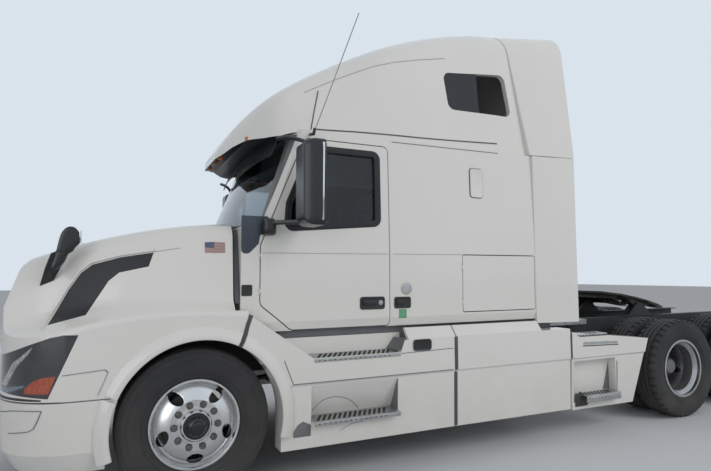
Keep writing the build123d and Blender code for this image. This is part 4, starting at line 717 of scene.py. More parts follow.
# %% Hand holes
hole_circle = 0.222
cutters = []
for number in range(5):
    turn = math.radians(-90 + 72 * number)
    nothing_selected()
    bpy.ops.mesh.primitive_cylinder_add(
        vertices=36, radius=1, depth=0.2, rotation=(math.radians(90), 0, 0), scale=(0.036, 0.055, 1),
        location=(front_axle_x + hole_circle * math.cos(turn), 1.14, axle_z + hole_circle * math.sin(turn)),
    )
    bpy.context.object.rotation_euler.rotate_axis("Z", -turn)
    cutters.append(bpy.context.object)
cutter = joined(cutters)
applied(disc_left, "BOOLEAN", operation="DIFFERENCE", object=cutter, solver="EXACT")
applied(disc_left, "BEVEL", width=0.0025, segments=2, limit_method="ANGLE", angle_limit=math.radians(50))
smoothed(disc_left, 32)
bpy.data.objects.remove(cutter, do_unlink=True)
replaced_pair(disc_left, "front_wheel")
print("faces of the disc with its holes:", len(disc_left.data.polygons))

# %% [markdown]
# A wheel nut is a hexagon with a wide washer under it and the end of its stud standing out.
# It is modelled once on the disc, its top face inset and pulled for the stud, and copied round the circle.

# %% Wheel nuts
nut_steel = finish("dull_steel_nuts", (0.2, 0.19, 0.18), (0.1, 0.095, 0.09), (0.35, 0.5), metal=0.9, tone=30,
                   dust=0.2, dust_top=0.9, grain=0.001, grain_scale=500)
nut_count, nut_circle = 10, 0.1429
middle = at(0, 1.1798, axle_z)
washer_and_nut = []
for vertices, radius, tall, out in ((24, 0.0235, 0.006, 0.003), (6, 0.0185, 0.02, 0.016)):
    nothing_selected()
    bpy.ops.mesh.primitive_cylinder_add(vertices=vertices, radius=radius, depth=tall,
                                        location=middle + Vector((nut_circle, out, 0)),
                                        rotation=(math.radians(-90), 0, 0))
    washer_and_nut.append(bpy.context.object)
nut = washer_and_nut[1]
shape = opened(nut, "FACE", "DESELECT")
for face in shape.faces:
    face.select_set(face.normal.z > 0.9)
bmesh.update_edit_mesh(nut.data)
bpy.ops.mesh.inset(thickness=0.0045, depth=0.0025)
bpy.ops.mesh.inset(thickness=0.002, depth=0.0)
bpy.ops.mesh.extrude_region_shrink_fatten(TRANSFORM_OT_shrink_fatten={"value": 0.009})
bpy.ops.mesh.select_mode(type="VERT")
ring = [joined(washer_and_nut)]
bpy.ops.object.transform_apply(location=True, rotation=True, scale=True)
for number in range(1, nut_count):
    copy = ring[0].copy()
    copy.data = ring[0].data.copy()
    bpy.context.scene.collection.objects.link(copy)
    copy.data.transform(Matrix.Translation(middle) @ Matrix.Rotation(math.tau * number / nut_count, 4, "Y")
                        @ Matrix.Translation(-middle))
    ring.append(copy)
nuts = joined(ring)
nuts.name = "front_nuts_left"
twins(finished(nuts, nut_steel, wheel_body, angle=25))

# %% [markdown]
# The wheel arch has a raised lip: a slope that climbs out of the fender and a narrow flat edge.
# It runs over three bodies, so it is three pieces: one on the bumper, one on the bonnet, one on the skirt.
# Each is the same section, spun through its own part of the circle and closed at its ends.

# %% Wheel-arch lips
arch_station, arch_z = 0.028, 0.52
lip_section = [(0.56, 1.184), (0.56, 1.233), (0.565, 1.238), (0.592, 1.239), (0.598, 1.237),
               (0.648, 1.212), (0.65, 1.184), (0.56, 1.184)]

# The angles run from backwards, at 0, over straight up, at 90.
for name, first, last, body in (
    ("arch_lip_skirt_left", -15.0, 61.8, "chassis_and_cab"),
    ("arch_lip_bonnet_left", 65.0, 157.4, "bonnet"),
    ("arch_lip_bumper_left", 159.6, 196.0, "chassis_and_cab"),
):
    start = math.radians(first)
    lip = drawn(name, [at(arch_station + r * math.cos(start), y, arch_z + r * math.sin(start))
                       for r, y in lip_section])
    bpy.ops.mesh.spin(steps=max(6, int((last - first) / 2)), angle=-math.radians(last - first),
                      center=at(arch_station, 0, arch_z), axis=(0, 1, 0))
    bpy.ops.mesh.select_all(action="SELECT")
    bpy.ops.mesh.remove_doubles(threshold=weld)
    bpy.ops.mesh.fill_holes(sides=0)
    twins(finished(lip, white_paint, body, edge=0.0015, angle=30))

# %% [markdown]
# Panels meet in dark joints, and some joints of the real body are lines that the solids don't have:
# the access panels of the step fairing, the fog lamp cover and the roof joint. A grey plate in the gap
# between the bonnet and the cab is painted shade: it stands for the cab's white front wall in shade.
# A joint is a thin dark strip let into the surface, drawn as a band along its line.

# %% Joint strips
line_rise = 0.0012
joint_rubber = finish("joint_rubber", (0.045, 0.046, 0.05), (0.03, 0.031, 0.034), (0.6, 0.8), tone=8, grain=0.001)
joint_grey = finish("joint_grey", (0.1, 0.104, 0.112), (0.075, 0.078, 0.085), (0.6, 0.8), tone=6, grain=0.001)
joint_shade = finish("joint_shade", (0.22, 0.225, 0.23), (0.17, 0.175, 0.18), (0.6, 0.8), tone=8, grain=0.001)
skirt_top_y, line_y, joint_y = 1.21, 1.2101, 1.2102


def strip(name, points, width, y, material=joint_rubber):
    """A band of one width along side-view points (station, height), standing a little out of the side."""
    line = [Vector(p) for p in points]
    upper, lower = [], []
    for n, place in enumerate(line):
        before = (place - line[n - 1]).normalized() if n else (line[1] - place).normalized()
        after = (line[n + 1] - place).normalized() if n + 1 < len(line) else before
        way = (before + after).normalized()
        normal = Vector((-way.y, way.x)) / max(0.5, way.dot(before))
        upper.append(place + normal * width / 2)
        lower.append(place - normal * width / 2)
    return side_plate(name, upper + lower[::-1], y, line_rise, material, edge=0.0)


def skirt_y(z):
    """Half width of the skirt's outer face at a height."""
    if z >= 0.722:
        return skirt_top_y
    if z >= 0.706:
        return 1.198 + (z - 0.706) / 0.016 * 0.012
    return 1.185 + (z - 0.2) / 0.506 * 0.013


def low_skirt_y(z):
    """A little outside the skirt."""
    return skirt_y(z) + 0.0003


twins(
    strip("fender_gap_left", [(0.358, 1.236), (0.332, 1.16), (0.318, 1.1), (0.277, 1.018)], 0.03, 1.2104,
          joint_grey),
    strip("skirt_joint_left", [(2.1025, 0.995), (2.1025, 0.722)], 0.034, joint_y, joint_grey),
    strip("skirt_joint_low_left", [(2.1025, 0.7), (2.1025, 0.262)], 0.034, low_skirt_y, joint_grey),
    strip("tail_joint_left", [(3.4245, 0.96), (3.4245, 0.722)], 0.022, joint_y, joint_grey),
    strip("access_line_left", [(0.602, 0.901), (0.672, 0.7245), (2.07, 0.7245)], 0.007, line_y, joint_shade),
    # Painted shade: a grey plate where the cab's white front wall lies in shade behind the gap.
    plate("cowl_seal_left", [at(0.262, 1.115, 1.315), at(0.262, 1.055, 1.57), at(0.262, 0.98, 1.85),
                             at(0.299, 0.99, 1.85), at(0.299, 1.065, 1.57), at(0.299, 1.12, 1.315)],
          (0, -0.004, 0), joint_grey, edge=0.0),
    strip("upper_line_left", [(1.572, 0.889), (2.074, 0.901)], 0.006, line_y, joint_shade),
)

# %% [markdown]
# The door window sits in a black rubber frame that is far wider than the glass edge,
# with an upright bar that divides off the quarter light. The frame is a ring: its outline is filled,
# inset by the width of the rubber, and the middle is taken out.

# %% Door window frame
soft_rubber = finish("window_rubber", (0.02, 0.02, 0.022), (0.012, 0.012, 0.014), (0.35, 0.5), tone=5,
                     grain=0.0008, grain_scale=400)
door_body = "cab_door_left"
cab_sides = [(1.1, 1.094), (1.17, 1.116), (1.69, 1.12), (1.87, 1.116), (2.65, 1.095)]


def cab_y(z):
    """Half width of the cab's side at a height."""
    for (z0, y0), (z1, y1) in zip(cab_sides, cab_sides[1:]):
        if z <= z1:
            return y0 + (y1 - y0) * (z - z0) / (z1 - z0)
    return cab_sides[-1][1]


def beside(rule, out):
    """A rule of the half width, moved out."""
    return lambda z: rule(z) + out


def rounded(points, steps):
    """Side-view corners (station, height, radius) with each corner rounded."""
    result = []
    for n, (s, z, radius) in enumerate(points):
        corner = Vector((s, z))
        before = Vector(points[n - 1][:2]) - corner
        after = Vector(points[(n + 1) % len(points)][:2]) - corner
        half = before.angle(after) / 2
        reach = radius / math.tan(half)
        start, end = corner + before.normalized() * reach, corner + after.normalized() * reach
        middle = corner + (before.normalized() + after.normalized()).normalized() * radius / math.sin(half)
        for k in range(steps + 1):
            way = (start - middle).lerp(end - middle, k / steps).normalized()
            result.append(tuple(middle + way * radius))
    return result


def oblong(front, rear, low, high, radius, steps=4):
    """A rounded rectangle in side view."""
    return rounded([(front, low, radius), (front, high, radius), (rear, high, radius), (rear, low, radius)], steps)


def frame_ring(name, outline, width, depth, material, body="chassis_and_cab", rise=0.004):
    """A ring of one width inside an outline on the cab's side, rise proud and depth deep."""
    piece = drawn(name, on_side(outline, beside(cab_y, rise)))
    bpy.ops.mesh.edge_face_add()
    bpy.ops.mesh.select_mode(type="FACE")
    bpy.ops.mesh.inset(thickness=width, depth=0)
    bpy.ops.mesh.delete(type="FACE")
    bpy.ops.mesh.select_all(action="SELECT")
    pulled((0, -depth, 0))
    bpy.ops.mesh.select_mode(type="VERT")
    return finished(piece, material, body, edge=0.002)


window_outline = rounded([(1.446, 1.908, 0.07), (0.618, 1.84, 0.07), (0.636, 2.066, 0.07),
                          (0.838, 2.531, 0.06), (1.446, 2.531, 0.07)], 5)
twins(
    frame_ring("window_frame_left", window_outline, 0.052, 0.026, soft_rubber, door_body),
    side_plate("quarter_bar_left", [(0.8, 1.895), (0.836, 1.898), (0.858, 2.48), (0.832, 2.48)],
               beside(cab_y, -0.002), -0.02, soft_rubber, door_body),
)

# %% [markdown]
# Two wipers rest along the foot of the windscreen, each an arm and a blade. The pane is curved
# across and leans back, so a rule gives its station at any place, and the rods are laid on that rule.

# %% Wipers


def on_screen(y, z, proud):
    """A point proud of the windscreen's outer face, from its width and height."""
    share = (z - 1.87) / 0.78
    middle, pillar, half = 0.295 + 0.345 * share, 0.455 + 0.27 * share, 1.072 - 0.062 * share
    return at(middle + (pillar - middle) * (y / half) ** 2 - proud, y, z)


for number, y in enumerate((0.9, 0.08)):
    pipe(f"wiper_arm_{number}", [on_screen(y - 0.8 * n / 8, 1.88 + 0.035 * math.sin(n / 8 * 2.2), 0.026)
                                 for n in range(6)], 0.007, soft_rubber)
    pipe(f"wiper_blade_{number}", [on_screen(y - 0.08 - 0.7 * n / 10, 1.897 + 0.004 * n, 0.012)
                                   for n in range(11)], 0.008, soft_rubber)
print("wipers at rest")

# %% [markdown]
# The door mirror is a tall glossy black housing on two rods, with a bright metal strip down its
# outer rear edge and the mirror glass facing backwards. The lower rod starts in a rounded elbow
# on the door's corner. The housing starts as a cube that is cut along its height and squeezed
# towards its ends, then smoothed by subdivision: that gives the soft, leaning form of a moulding.

# %% Mirror housing
mirror_shell = finish("mirror_shell", (0.014, 0.015, 0.017), (0.009, 0.009, 0.011), (0.26, 0.36), coat=0.2,
                      tone=3, grain=0.0004, grain_scale=200)
mirror_glass = finish("mirror_glass", (0.62, 0.66, 0.7), (0.56, 0.6, 0.64), (0.02, 0.06), metal=1.0, tone=4)
chrome = finish("chrome_strip", (0.86, 0.86, 0.86), (0.74, 0.74, 0.75), (0.06, 0.14), metal=1.0, tone=9,
                dust=0.08, dust_top=2.8)


def block(name, front, rear, y_in, y_out, low, high):
    """A cube primitive stretched between stations, widths and heights, in edit mode."""
    nothing_selected()
    middle = at((front + rear) / 2, (y_in + y_out) / 2, (low + high) / 2)
    bpy.ops.mesh.primitive_cube_add(size=1, location=middle, scale=(rear - front, y_out - y_in, high - low))
    piece = bpy.context.object
    piece.name = name
    bpy.ops.object.transform_apply(location=True, rotation=True, scale=True)
    opened(piece)
    return piece


def squeezed(piece, rule, sizes, about):
    """Scales the vertices whose place a rule accepts, about a point."""
    picked(piece, rule)
    bpy.ops.transform.resize(value=sizes, center_override=about)


def picked(piece, rule):
    """Selects the vertices of an open piece whose place a rule accepts."""
    bpy.ops.mesh.select_mode(type="VERT")
    bpy.ops.mesh.select_all(action="DESELECT")
    shape = bmesh.from_edit_mesh(piece.data)
    for vertex in shape.verts:
        vertex.select_set(rule(vertex.co))
    shape.select_flush(True)
    bmesh.update_edit_mesh(piece.data)


def moulded(piece, angle=60, levels=2):
    """Rounds a piece by subdivision."""
    applied(piece, "SUBSURF", levels=levels, render_levels=levels)
    smoothed(piece, angle)


housing = block("mirror_housing_left", 0.655, 0.815, 1.245, 1.5, 1.866, 2.484)
for axis, cuts in ((2, (1.885, 1.95, 2.2, 2.42, 2.468)), (1, (1.262, 1.3, 1.45, 1.488)),
                   (0, (front_axle_x - 0.8, front_axle_x - 0.72))):
    way = [int(n == axis) for n in range(3)]
    for cut in cuts:
        bpy.ops.mesh.select_all(action="SELECT")
        bpy.ops.mesh.bisect(plane_co=[cut * n for n in way], plane_no=way)
squeezed(housing, lambda p: p.z < 1.87, (0.62, 0.86, 1), at(0.8, 1.375, 2.2))
squeezed(housing, lambda p: p.z > 2.48, (0.55, 0.84, 1), at(0.8, 1.375, 2.2))
squeezed(housing, lambda p: front_axle_x - p.x < 0.66, (1, 0.72, 0.965), at(0.655, 1.375, 2.18))
moulded(finished(housing, mirror_shell, door_body))
print("mirror housing", [round(v, 3) for v in housing.dimensions])

# %% [markdown]
# The glass is two panes behind the housing's rim, a tall flat one over a short wide-angle one.
# The bright strip follows the outer rear edge. The rods are bent tubes, and the elbow is a rounded cover
# over the rod's foot: a small cube, subdivided and pressed to the door.

# %% Glass, strip, rods and elbow
panes = [
    cross_plate(name, 0.8135, [(1.275, low), (1.472, low), (1.478, low + 0.01), (1.478, high - 0.01),
                               (1.472, high), (1.275, high), (1.268, high - 0.01), (1.268, low + 0.01)],
                -0.004, mirror_glass, door_body, edge=0.001)
    for name, low, high in (("mirror_pane_tall_left", 2.075, 2.44), ("mirror_pane_wide_left", 1.905, 2.055))
]
bright = plate("mirror_strip_left", [at(0.77, 1.488, 1.9), at(0.792, 1.496, 1.9), at(0.799, 1.497, 2.455),
                                     at(0.777, 1.49, 2.455)], (0, 0.007, 0), chrome, door_body)
rods = [
    pipe("mirror_rod_upper_left", [at(0.57, 1.1, 2.545), at(0.6, 1.15, 2.553), at(0.68, 1.23, 2.53),
                                   at(0.735, 1.33, 2.48), at(0.735, 1.345, 2.44)], 0.016, mirror_shell,
         door_body),
    pipe("mirror_rod_lower_left", [at(0.515, 1.1, 1.845), at(0.482, 1.185, 1.89), at(0.56, 1.25, 1.898),
                                   at(0.735, 1.33, 1.9), at(0.74, 1.345, 1.935)], 0.018, mirror_shell,
         door_body),
]
elbow = block("mirror_elbow_left", 0.44, 0.548, 1.105, 1.215, 1.806, 1.935)
bpy.ops.mesh.subdivide(number_cuts=2)
squeezed(elbow, lambda p: p.y > 1.2, (0.62, 1, 0.68), at(0.486, 1.2, 1.876))
squeezed(elbow, lambda p: p.z > 1.93, (0.7, 0.9, 1), at(0.5, 1.15, 1.93))
moulded(finished(elbow, mirror_shell, door_body))
replaced_pair(housing, "mirror")
twins(*panes, bright, *rods, elbow)

# %% [markdown]
# On the bonnet stands a second, small mirror: a black blade that leans forward over a slim foot.
# Its outline is taken from the photograph, filled, given its thickness and rounded strongly.

# %% Bonnet mirrors
blade = side_plate("bonnet_mirror_left",
                   [(-0.9, 1.56), (-0.893, 1.6), (-0.868, 1.696), (-0.857, 1.785), (-0.83, 1.825),
                    (-0.8, 1.842), (-0.765, 1.834), (-0.74, 1.8), (-0.732, 1.732), (-0.765, 1.7),
                    (-0.775, 1.672), (-0.806, 1.66), (-0.818, 1.608), (-0.862, 1.552)],
                   0.955, 0.08, mirror_shell, "bonnet", edge=0.016)
moulded(blade, angle=50, levels=1)
foot = plate("bonnet_mirror_foot_left", [at(-0.97, 0.892, 1.447), at(-0.888, 0.916, 1.483), at(-0.8, 1.036, 1.66),
                                         at(-0.85, 1.04, 1.685), at(-0.9, 1.035, 1.66),
                                         at(-0.935, 0.965, 1.57)],
             (0.004, -0.03, 0), mirror_shell, "bonnet", edge=0.006)
pane = cross_plate("bonnet_mirror_pane_left", -0.742, [(0.966, 1.735), (1.024, 1.735), (1.024, 1.812),
                                                       (0.966, 1.812)], -0.012, mirror_glass, "bonnet")
twins(blade, foot, pane)
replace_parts(blade, "hood_mirrors")

# %% [markdown]
# The bonnet and the roof are curved, so a line on them has to follow the surface.
# A line is drawn flat beside the truck, widened by one extrusion, and thrown onto the solid
# with a Shrinkwrap modifier that projects across the truck. Solidify then gives it body.
# Measuring the surface point by point would do the same with far more code.

# %% Laying a band on a curved side
beside_truck_y, band_depth = 1.6, 0.004


def closer(points, reach=0.03):
    """The same side-view line with a point at least every reach metres."""
    result = [points[0]]
    for start, end in zip(points, points[1:]):
        count = max(1, round(math.dist(start, end) / reach))
        for n in range(1, count + 1):
            share = n / count
            result.append((start[0] + (end[0] - start[0]) * share, start[1] + (end[1] - start[1]) * share))
    return result


def thrown(piece, node, rise):
    """Projects a piece across the truck onto a solid."""
    applied(piece, "SHRINKWRAP", wrap_method="PROJECT", target=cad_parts[node], use_project_x=False,
            use_project_y=True, use_project_z=False, use_negative_direction=True, use_positive_direction=True,
            offset=rise)


def laid(name, points, widen, node, material, body="chassis_and_cab", rise=line_rise):
    """A band laid on a solid's left side: a line widened by widen (backwards, upwards) and projected."""
    piece = drawn(name, on_side(closer(points), beside_truck_y))
    pulled((-widen[0], 0, widen[1]))
    piece = finished(piece, material, body)
    thrown(piece, node, rise)
    applied(piece, "SOLIDIFY", thickness=rise + band_depth, offset=0)
    missed = [v for v in piece.data.vertices if v.co.y > beside_truck_y - 0.2]
    if missed:
        print("off the solid:", name, len(missed))
    return finished(piece, material, body, angle=40)


print("bands are laid by", laid.__name__)

# %% [markdown]
# The vent in the bonnet's side has a raised white lip over its top, and behind it runs a crease.
# The fender carries the outline of a panel behind the lamp, the bumper that of the fog lamp's cover.
# The roof cap has a joint above the door, a crease along its shoulder and a dark gap along its foot,
# and a belt line runs along the door and the sleeper.

# %% Vent lip and seams
crease_shade = finish("crease_shade", (0.5, 0.505, 0.51), (0.45, 0.455, 0.46), (0.5, 0.7), tone=8, grain=0.001)
twins(
    laid("vent_lip_left", [(-0.925, 1.18), (-0.905, 1.222), (-0.86, 1.315), (-0.8, 1.432), (-0.731, 1.546),
                           (-0.664, 1.6), (-0.491, 1.65), (-0.283, 1.684)],
         (0.0, 0.018), "hood", white_paint, "bonnet", rise=0.01),
    laid("fender_line_left", [(-0.802, 0.9065), (-0.681, 0.917), (-0.5675, 0.927), (-0.549, 0.911),
                              (-0.563, 0.872), (-0.603, 0.771)], (0.004, 0.004), "hood", joint_shade, "bonnet"),
    laid("fog_cover_line_left", [(-1.1596, 0.667), (-1.084, 0.695), (-1.024, 0.702), (-0.907, 0.704),
                                 (-0.924, 0.6505), (-0.946, 0.598), (-0.9775, 0.579), (-1.031, 0.569),
                                 (-1.0925, 0.555)], (0.004, -0.004), "bumper", joint_shade),
    laid("hood_crease_left", [(-0.291, 1.676), (-0.11, 1.706)], (0.0, 0.004), "hood", crease_shade, "bonnet"),
    laid("roof_joint_left", [(0.85, 2.66), (0.885, 2.815), (0.912, 2.923), (0.932, 3.007)], (0.008, 0.0),
         "roof_cap", joint_grey),
    laid("roof_crease_left", [(0.818, 2.974), (1.1, 3.13), (1.276, 3.217), (1.456, 3.3), (1.644, 3.364),
                              (1.898, 3.434), (2.196, 3.505)], (0.0, 0.006), "roof_cap", crease_shade),
    laid("roof_foot_left", [(0.9, 2.664), (1.238, 2.681), (1.526, 2.688), (1.838, 2.696), (2.36, 2.719),
                            (2.7, 2.731)], (0.0, 0.01), "roof_cap", joint_grey),
    laid("cab_top_line_left", [(1.561, 2.626), (2.073, 2.631), (2.69, 2.637)], (0.0, 0.005), "sleeper_shell",
         joint_shade),
    laid("belt_line_left", [(1.561, 1.6845), (2.242, 1.6876)], (0.0, 0.004), "sleeper_shell", crease_shade),
    laid("door_belt_line_left", [(0.462, 1.6765), (1.51, 1.6836)], (0.0, 0.004), "door_left", crease_shade,
         door_body),
)

# %% [markdown]
# The grille is an opening in the nose with horizontal bars and a bright frame, and the bumper has
# a wide dark intake with two bars. The nose is curved both ways, so a rule gives its station
# at any width and height, and each bar is an arc drawn in plan from that rule, filled and raised.

# %% Grille, intake and their bars
nose_heights = [(0.3, -1.256), (0.83, -1.251), (1.15, -1.222), (1.575, -1.09)]
bumper_lean = 0.012 / 0.312
curve_in_plan = 8.218


def nose_station(y, z):
    """Station of the bonnet's front at a width and a height."""
    for (z0, s0), (z1, s1) in zip(nose_heights, nose_heights[1:]):
        if z <= z1:
            return max(s0 + (s1 - s0) * (z - z0) / (z1 - z0), -1.256 + y * y / curve_in_plan)


def bumper_station(y, z):
    """Station of the bumper's front at a width and a height, above its lower edge's curl."""
    return -1.26 + bumper_lean * (0.742 - z) + y * y / curve_in_plan


def nose_bar(name, station, z, half, tall, proud, material, body, edge, lean=0.0):
    """A bar across the nose, following its curve in plan; station is the rule of its surface."""
    widths = [half * n / 12 for n in range(-12, 13)]
    front = [at(station(y, z) - proud, y, z) for y in widths]
    back = [at(station(y, z) + 0.02, y, z) for y in reversed(widths)]
    plate(name, front + back, (lean * tall, 0, tall), material, body, edge)


for number in range(7):
    z = 0.905 + number * 0.072
    half = 0.468 - 0.06 * (z - 0.86) / 0.58
    nose_bar(f"grille_bar_{number}", nose_station, z, half, 0.03, 0.006,
             dull_alloy if number % 2 else shiny_black, "bonnet", 0.004)
half_frame = [(0.44, 0.848), (0.484, 0.862), (0.478, 0.94), (0.452, 1.18), (0.428, 1.4), (0.4, 1.437)]
corners = (half_frame[1:] + [(0.0, 1.44)] + [(-y, z) for y, z in reversed(half_frame)]
           + [(0.0, 0.846)] + half_frame[:2])
pipe("grille_frame", [at(nose_station(y, z) - 0.002, y, z) for y, z in corners], 0.011, chrome, "bonnet")
for name, z, half, tall, proud, material, edge in (
    ("bumper_intake", 0.47, 0.56, 0.15, 0.004, black_trim, 0.0),
    ("bumper_intake_bar_0", 0.505, 0.548, 0.018, 0.006, dull_alloy, 0.003),
    ("bumper_intake_bar_1", 0.56, 0.548, 0.018, 0.006, dull_alloy, 0.003),
):
    nose_bar(name, bumper_station, z, half, tall, proud, material, "chassis_and_cab", edge, bumper_lean)
print("nose at the grille:", round(nose_station(0, 1.1), 3), round(nose_station(0.45, 1.1), 3))

# %% [markdown]
# A headlamp is a clear cover over a dark bowl with a bright projector at the front
# and an amber marker low at the back. The cover is the imported solid. Its material is a dark
# lens whose colour comes from masks on the place: bright near the projector, streaked with painted
# reflection of its chrome, amber in its corner, and a pale blue band low at the front that is painted reflection.

# %% Headlamp lens
patch_softness = 0.004


def within(tree, corners):
    """A mask of a convex patch in side view, 1 inside; its corners (station, height) run clockwise."""
    x, y, z = places(tree)
    inside = None
    for (s0, z0), (s1, z1) in zip(corners, corners[1:] + corners[:1]):
        way = Vector((s1 - s0, z1 - z0)).normalized()
        reach = maths(tree, "ADD", maths(tree, "MULTIPLY", x, -way.y), maths(tree, "MULTIPLY", z, -way.x))
        edge = way.y * (s0 - front_axle_x) - way.x * z0
        side = spread(tree, reach, edge - patch_softness, edge + patch_softness)
        inside = side if inside is None else maths(tree, "MULTIPLY", inside, side)
    return inside


lamp_lens, tree, shader = principled("lamp_lens")
cloud = placed(tree, cloudy, Scale=14.0, Contrast=0.6)
streaks = placed(tree, cloudy, Scale=55.0)
colour = mixed(tree, cloud, (0.02, 0.023, 0.026), (0.038, 0.044, 0.048))
# The bright tone is the projector's chrome, with painted reflection in its streaks; the pale blue one is painted
# reflection.
bright = mixed(tree, streaks, (0.16, 0.17, 0.18), (0.62, 0.63, 0.6))
amber = mixed(tree, streaks, (0.32, 0.045, 0.018), (0.5, 0.095, 0.032))
pale = mixed(tree, streaks, (0.06, 0.09, 0.12), (0.24, 0.3, 0.36))
for paint, corners in (
    (bright, [(-1.152, 0.838), (-1.081, 0.98), (-1.058, 0.958), (-1.116, 0.834)]),
    (bright, [(-1.082, 0.979), (-0.971, 1.079), (-0.986, 1.046), (-1.06, 0.956)]),
    (pale, [(-1.2, 0.812), (-1.16, 0.822), (-1.078, 0.842), (-1.006, 0.852), (-1.006, 0.842), (-1.16, 0.775),
            (-1.2, 0.775)]),
    (amber, [(-1.005, 0.802), (-1.005, 0.833), (-0.958, 0.878), (-0.911, 0.898), (-0.836, 0.905),
             (-0.871, 0.801)]),
):
    colour = mixed(tree, within(tree, corners), colour, paint)
for label, value in (("Base Color", colour), ("Roughness", spread(tree, cloud, 0.0, 1.0, 0.12, 0.04)),
                     ("Coat Weight", 1.0), ("Coat Roughness", 0.03)):
    fed(tree, shader[label], value)
dress(lamp_lens, "headlamps")

# %% [markdown]
# The door handle is a black recess with a paddle in it, and the sleeper's locker has a smaller latch.
# Each is a rounded plate with its middle inset and pushed in, and the paddle is a rounded bar over it.
# High on the sleeper is a small vent behind a white cover, and a dark panel closes the cowl's
# corner between bonnet and windscreen; its blue-grey is painted shade of that hollow corner.
# Under it is a small grille in the cab's side.

# %% Handles, vent cover and cowl panel


def tray(name, corners, material, body="chassis_and_cab", y=cab_y, sink=0.012, rim=0.01, rise=0.004):
    """A rounded plate on the cab's side whose middle is inset and pushed in."""
    piece = drawn(name, on_side(corners, beside(y, rise)))
    bpy.ops.mesh.edge_face_add()
    bpy.ops.mesh.select_mode(type="FACE")
    pulled((0, 0.0001, 0))
    bpy.ops.mesh.inset(thickness=rim, depth=0)
    bpy.ops.transform.translate(value=(0, -sink, 0))
    bpy.ops.mesh.select_mode(type="VERT")
    return finished(piece, material, body, edge=0.001)


sunk_y = beside(cab_y, -0.004)
disc_outline = [(1.678 + 0.05 * math.cos(a), 1.401 + 0.05 * math.sin(a))
                for a in [math.radians(15 * n) for n in range(24)]]
twins(
    tray("handle_tray_left", oblong(1.25, 1.474, 1.239, 1.34, 0.022), black_trim, door_body),
    side_plate("handle_paddle_left", oblong(1.275, 1.4, 1.268, 1.316, 0.016), sunk_y, 0.016, shiny_black,
               door_body, edge=0.005),
    side_plate("handle_lock_left", oblong(1.415, 1.456, 1.272, 1.312, 0.019), sunk_y, 0.01, dull_alloy, door_body),
    tray("latch_tray_left", oblong(1.56, 1.719, 1.24, 1.334, 0.02), black_trim),
    side_plate("latch_paddle_left", oblong(1.58, 1.66, 1.264, 1.312, 0.014), sunk_y, 0.014, shiny_black,
               edge=0.004),
    side_plate("locker_disc_left", disc_outline, cab_y, 0.006, dull_alloy),
)
# Painted shade: the cowl panel's blue-grey stands for the hollow corner in shade.
cowl_shade_blue = finish("cowl_shade_blue", (0.06, 0.075, 0.098), (0.046, 0.058, 0.078), (0.4, 0.6), tone=6, grain=0.001)
cowl_outline = rounded([(0.3, 1.95, 0.004), (0.3, 1.672, 0.03), (0.356, 1.672, 0.04),
                        (0.43, 1.748, 0.03), (0.436, 1.8, 0.02), (0.494, 1.912, 0.02),
                        (0.5, 1.95, 0.004)], 3)
twins(
    tray("sleeper_vent_cover_left", oblong(2.357, 2.494, 2.208, 2.468, 0.028), white_paint, sink=0.006,
         rim=0.014, rise=0.009),
    frame_ring("sleeper_vent_line_left", oblong(2.349, 2.502, 2.2, 2.476, 0.034), 0.012, 0.006, joint_shade,
               rise=0.0018),
    side_plate("cowl_panel_left", cowl_outline, cab_y, 0.005, cowl_shade_blue, edge=0.0015),
    tray("side_grille_left", oblong(0.306, 0.384, 1.366, 1.446, 0.01), black_trim, sink=0.01, rim=0.008),
    *[side_plate(f"side_grille_slat_{number}_left", [(0.314, low), (0.376, low), (0.376, low + 0.007),
                                                     (0.314, low + 0.007)],
                 beside(cab_y, -0.006), 0.008, black_trim, edge=0.0015)
      for number, low in enumerate((1.379, 1.396, 1.413, 1.43))],
)

# %% [markdown]
# Two whip aerials stand on the drip rail, one on each side. A whip is a tapered rod on a sprung foot.

# %% Aerials
whip_steel = finish("whip_steel", (0.36, 0.36, 0.37), (0.26, 0.26, 0.27), (0.4, 0.5), metal=0.5, tone=8)
for hand, side, tip in (("left", 1, (1.212, 3.628)), ("right", -1, (1.18, 3.56))):
    pipe(f"aerial_foot_{hand}", [at(0.836, side * 1.09, 2.612), at(0.836, side * 1.15, 2.605),
                                 at(0.834, side * 1.18, 2.59), at(0.838, side * 1.19, 2.64)], 0.012, black_trim)
    pipe(f"aerial_whip_{hand}", [at(0.838, side * 1.19, 2.62), at(0.98, side * 1.193, 3.0),
                                 at(tip[0], side * 1.2, tip[1])], 0.004, whip_steel, smooth=False)
print("aerials on both sides")

# %% [markdown]
# A step is an aluminium section with a row of slanted slots punched through its top
# and small holes in its front lip. The section is drawn on end and pulled along the truck.
# One slot and one hole are modelled as thin dark plates on the surface, not cut through; their black is
# painted shade of the openings. An Array modifier repeats each along the tread.

# %% Treads
# Painted shade: the slots and holes are dark plates standing for the shade seen through the openings.
slot_shade_black = finish("slot_shade_black", (0.02, 0.02, 0.021), (0.012, 0.012, 0.013), (0.7, 0.8), grain=0.0005)
# One grey serves for the sill, which is painted grey, and for the end walls of the wells, where it is painted shade.
sill_and_shade_grey = finish("sill_and_shade_grey", (0.175, 0.182, 0.192), (0.14, 0.146, 0.155), (0.5, 0.6), tone=4, dust=0.2,
                   grain=0.0006, grain_scale=250)
sheet_metal, slot_pitch = 0.008, 0.042
slot_corners = ((0.088, 0.14), (0.11, 0.14), (0.042, 0.86), (0.02, 0.86))
hole_corners = ((0.03, -0.003), (0.03, 0.003), (0.046, 0.003), (0.046, -0.003))

treads = []
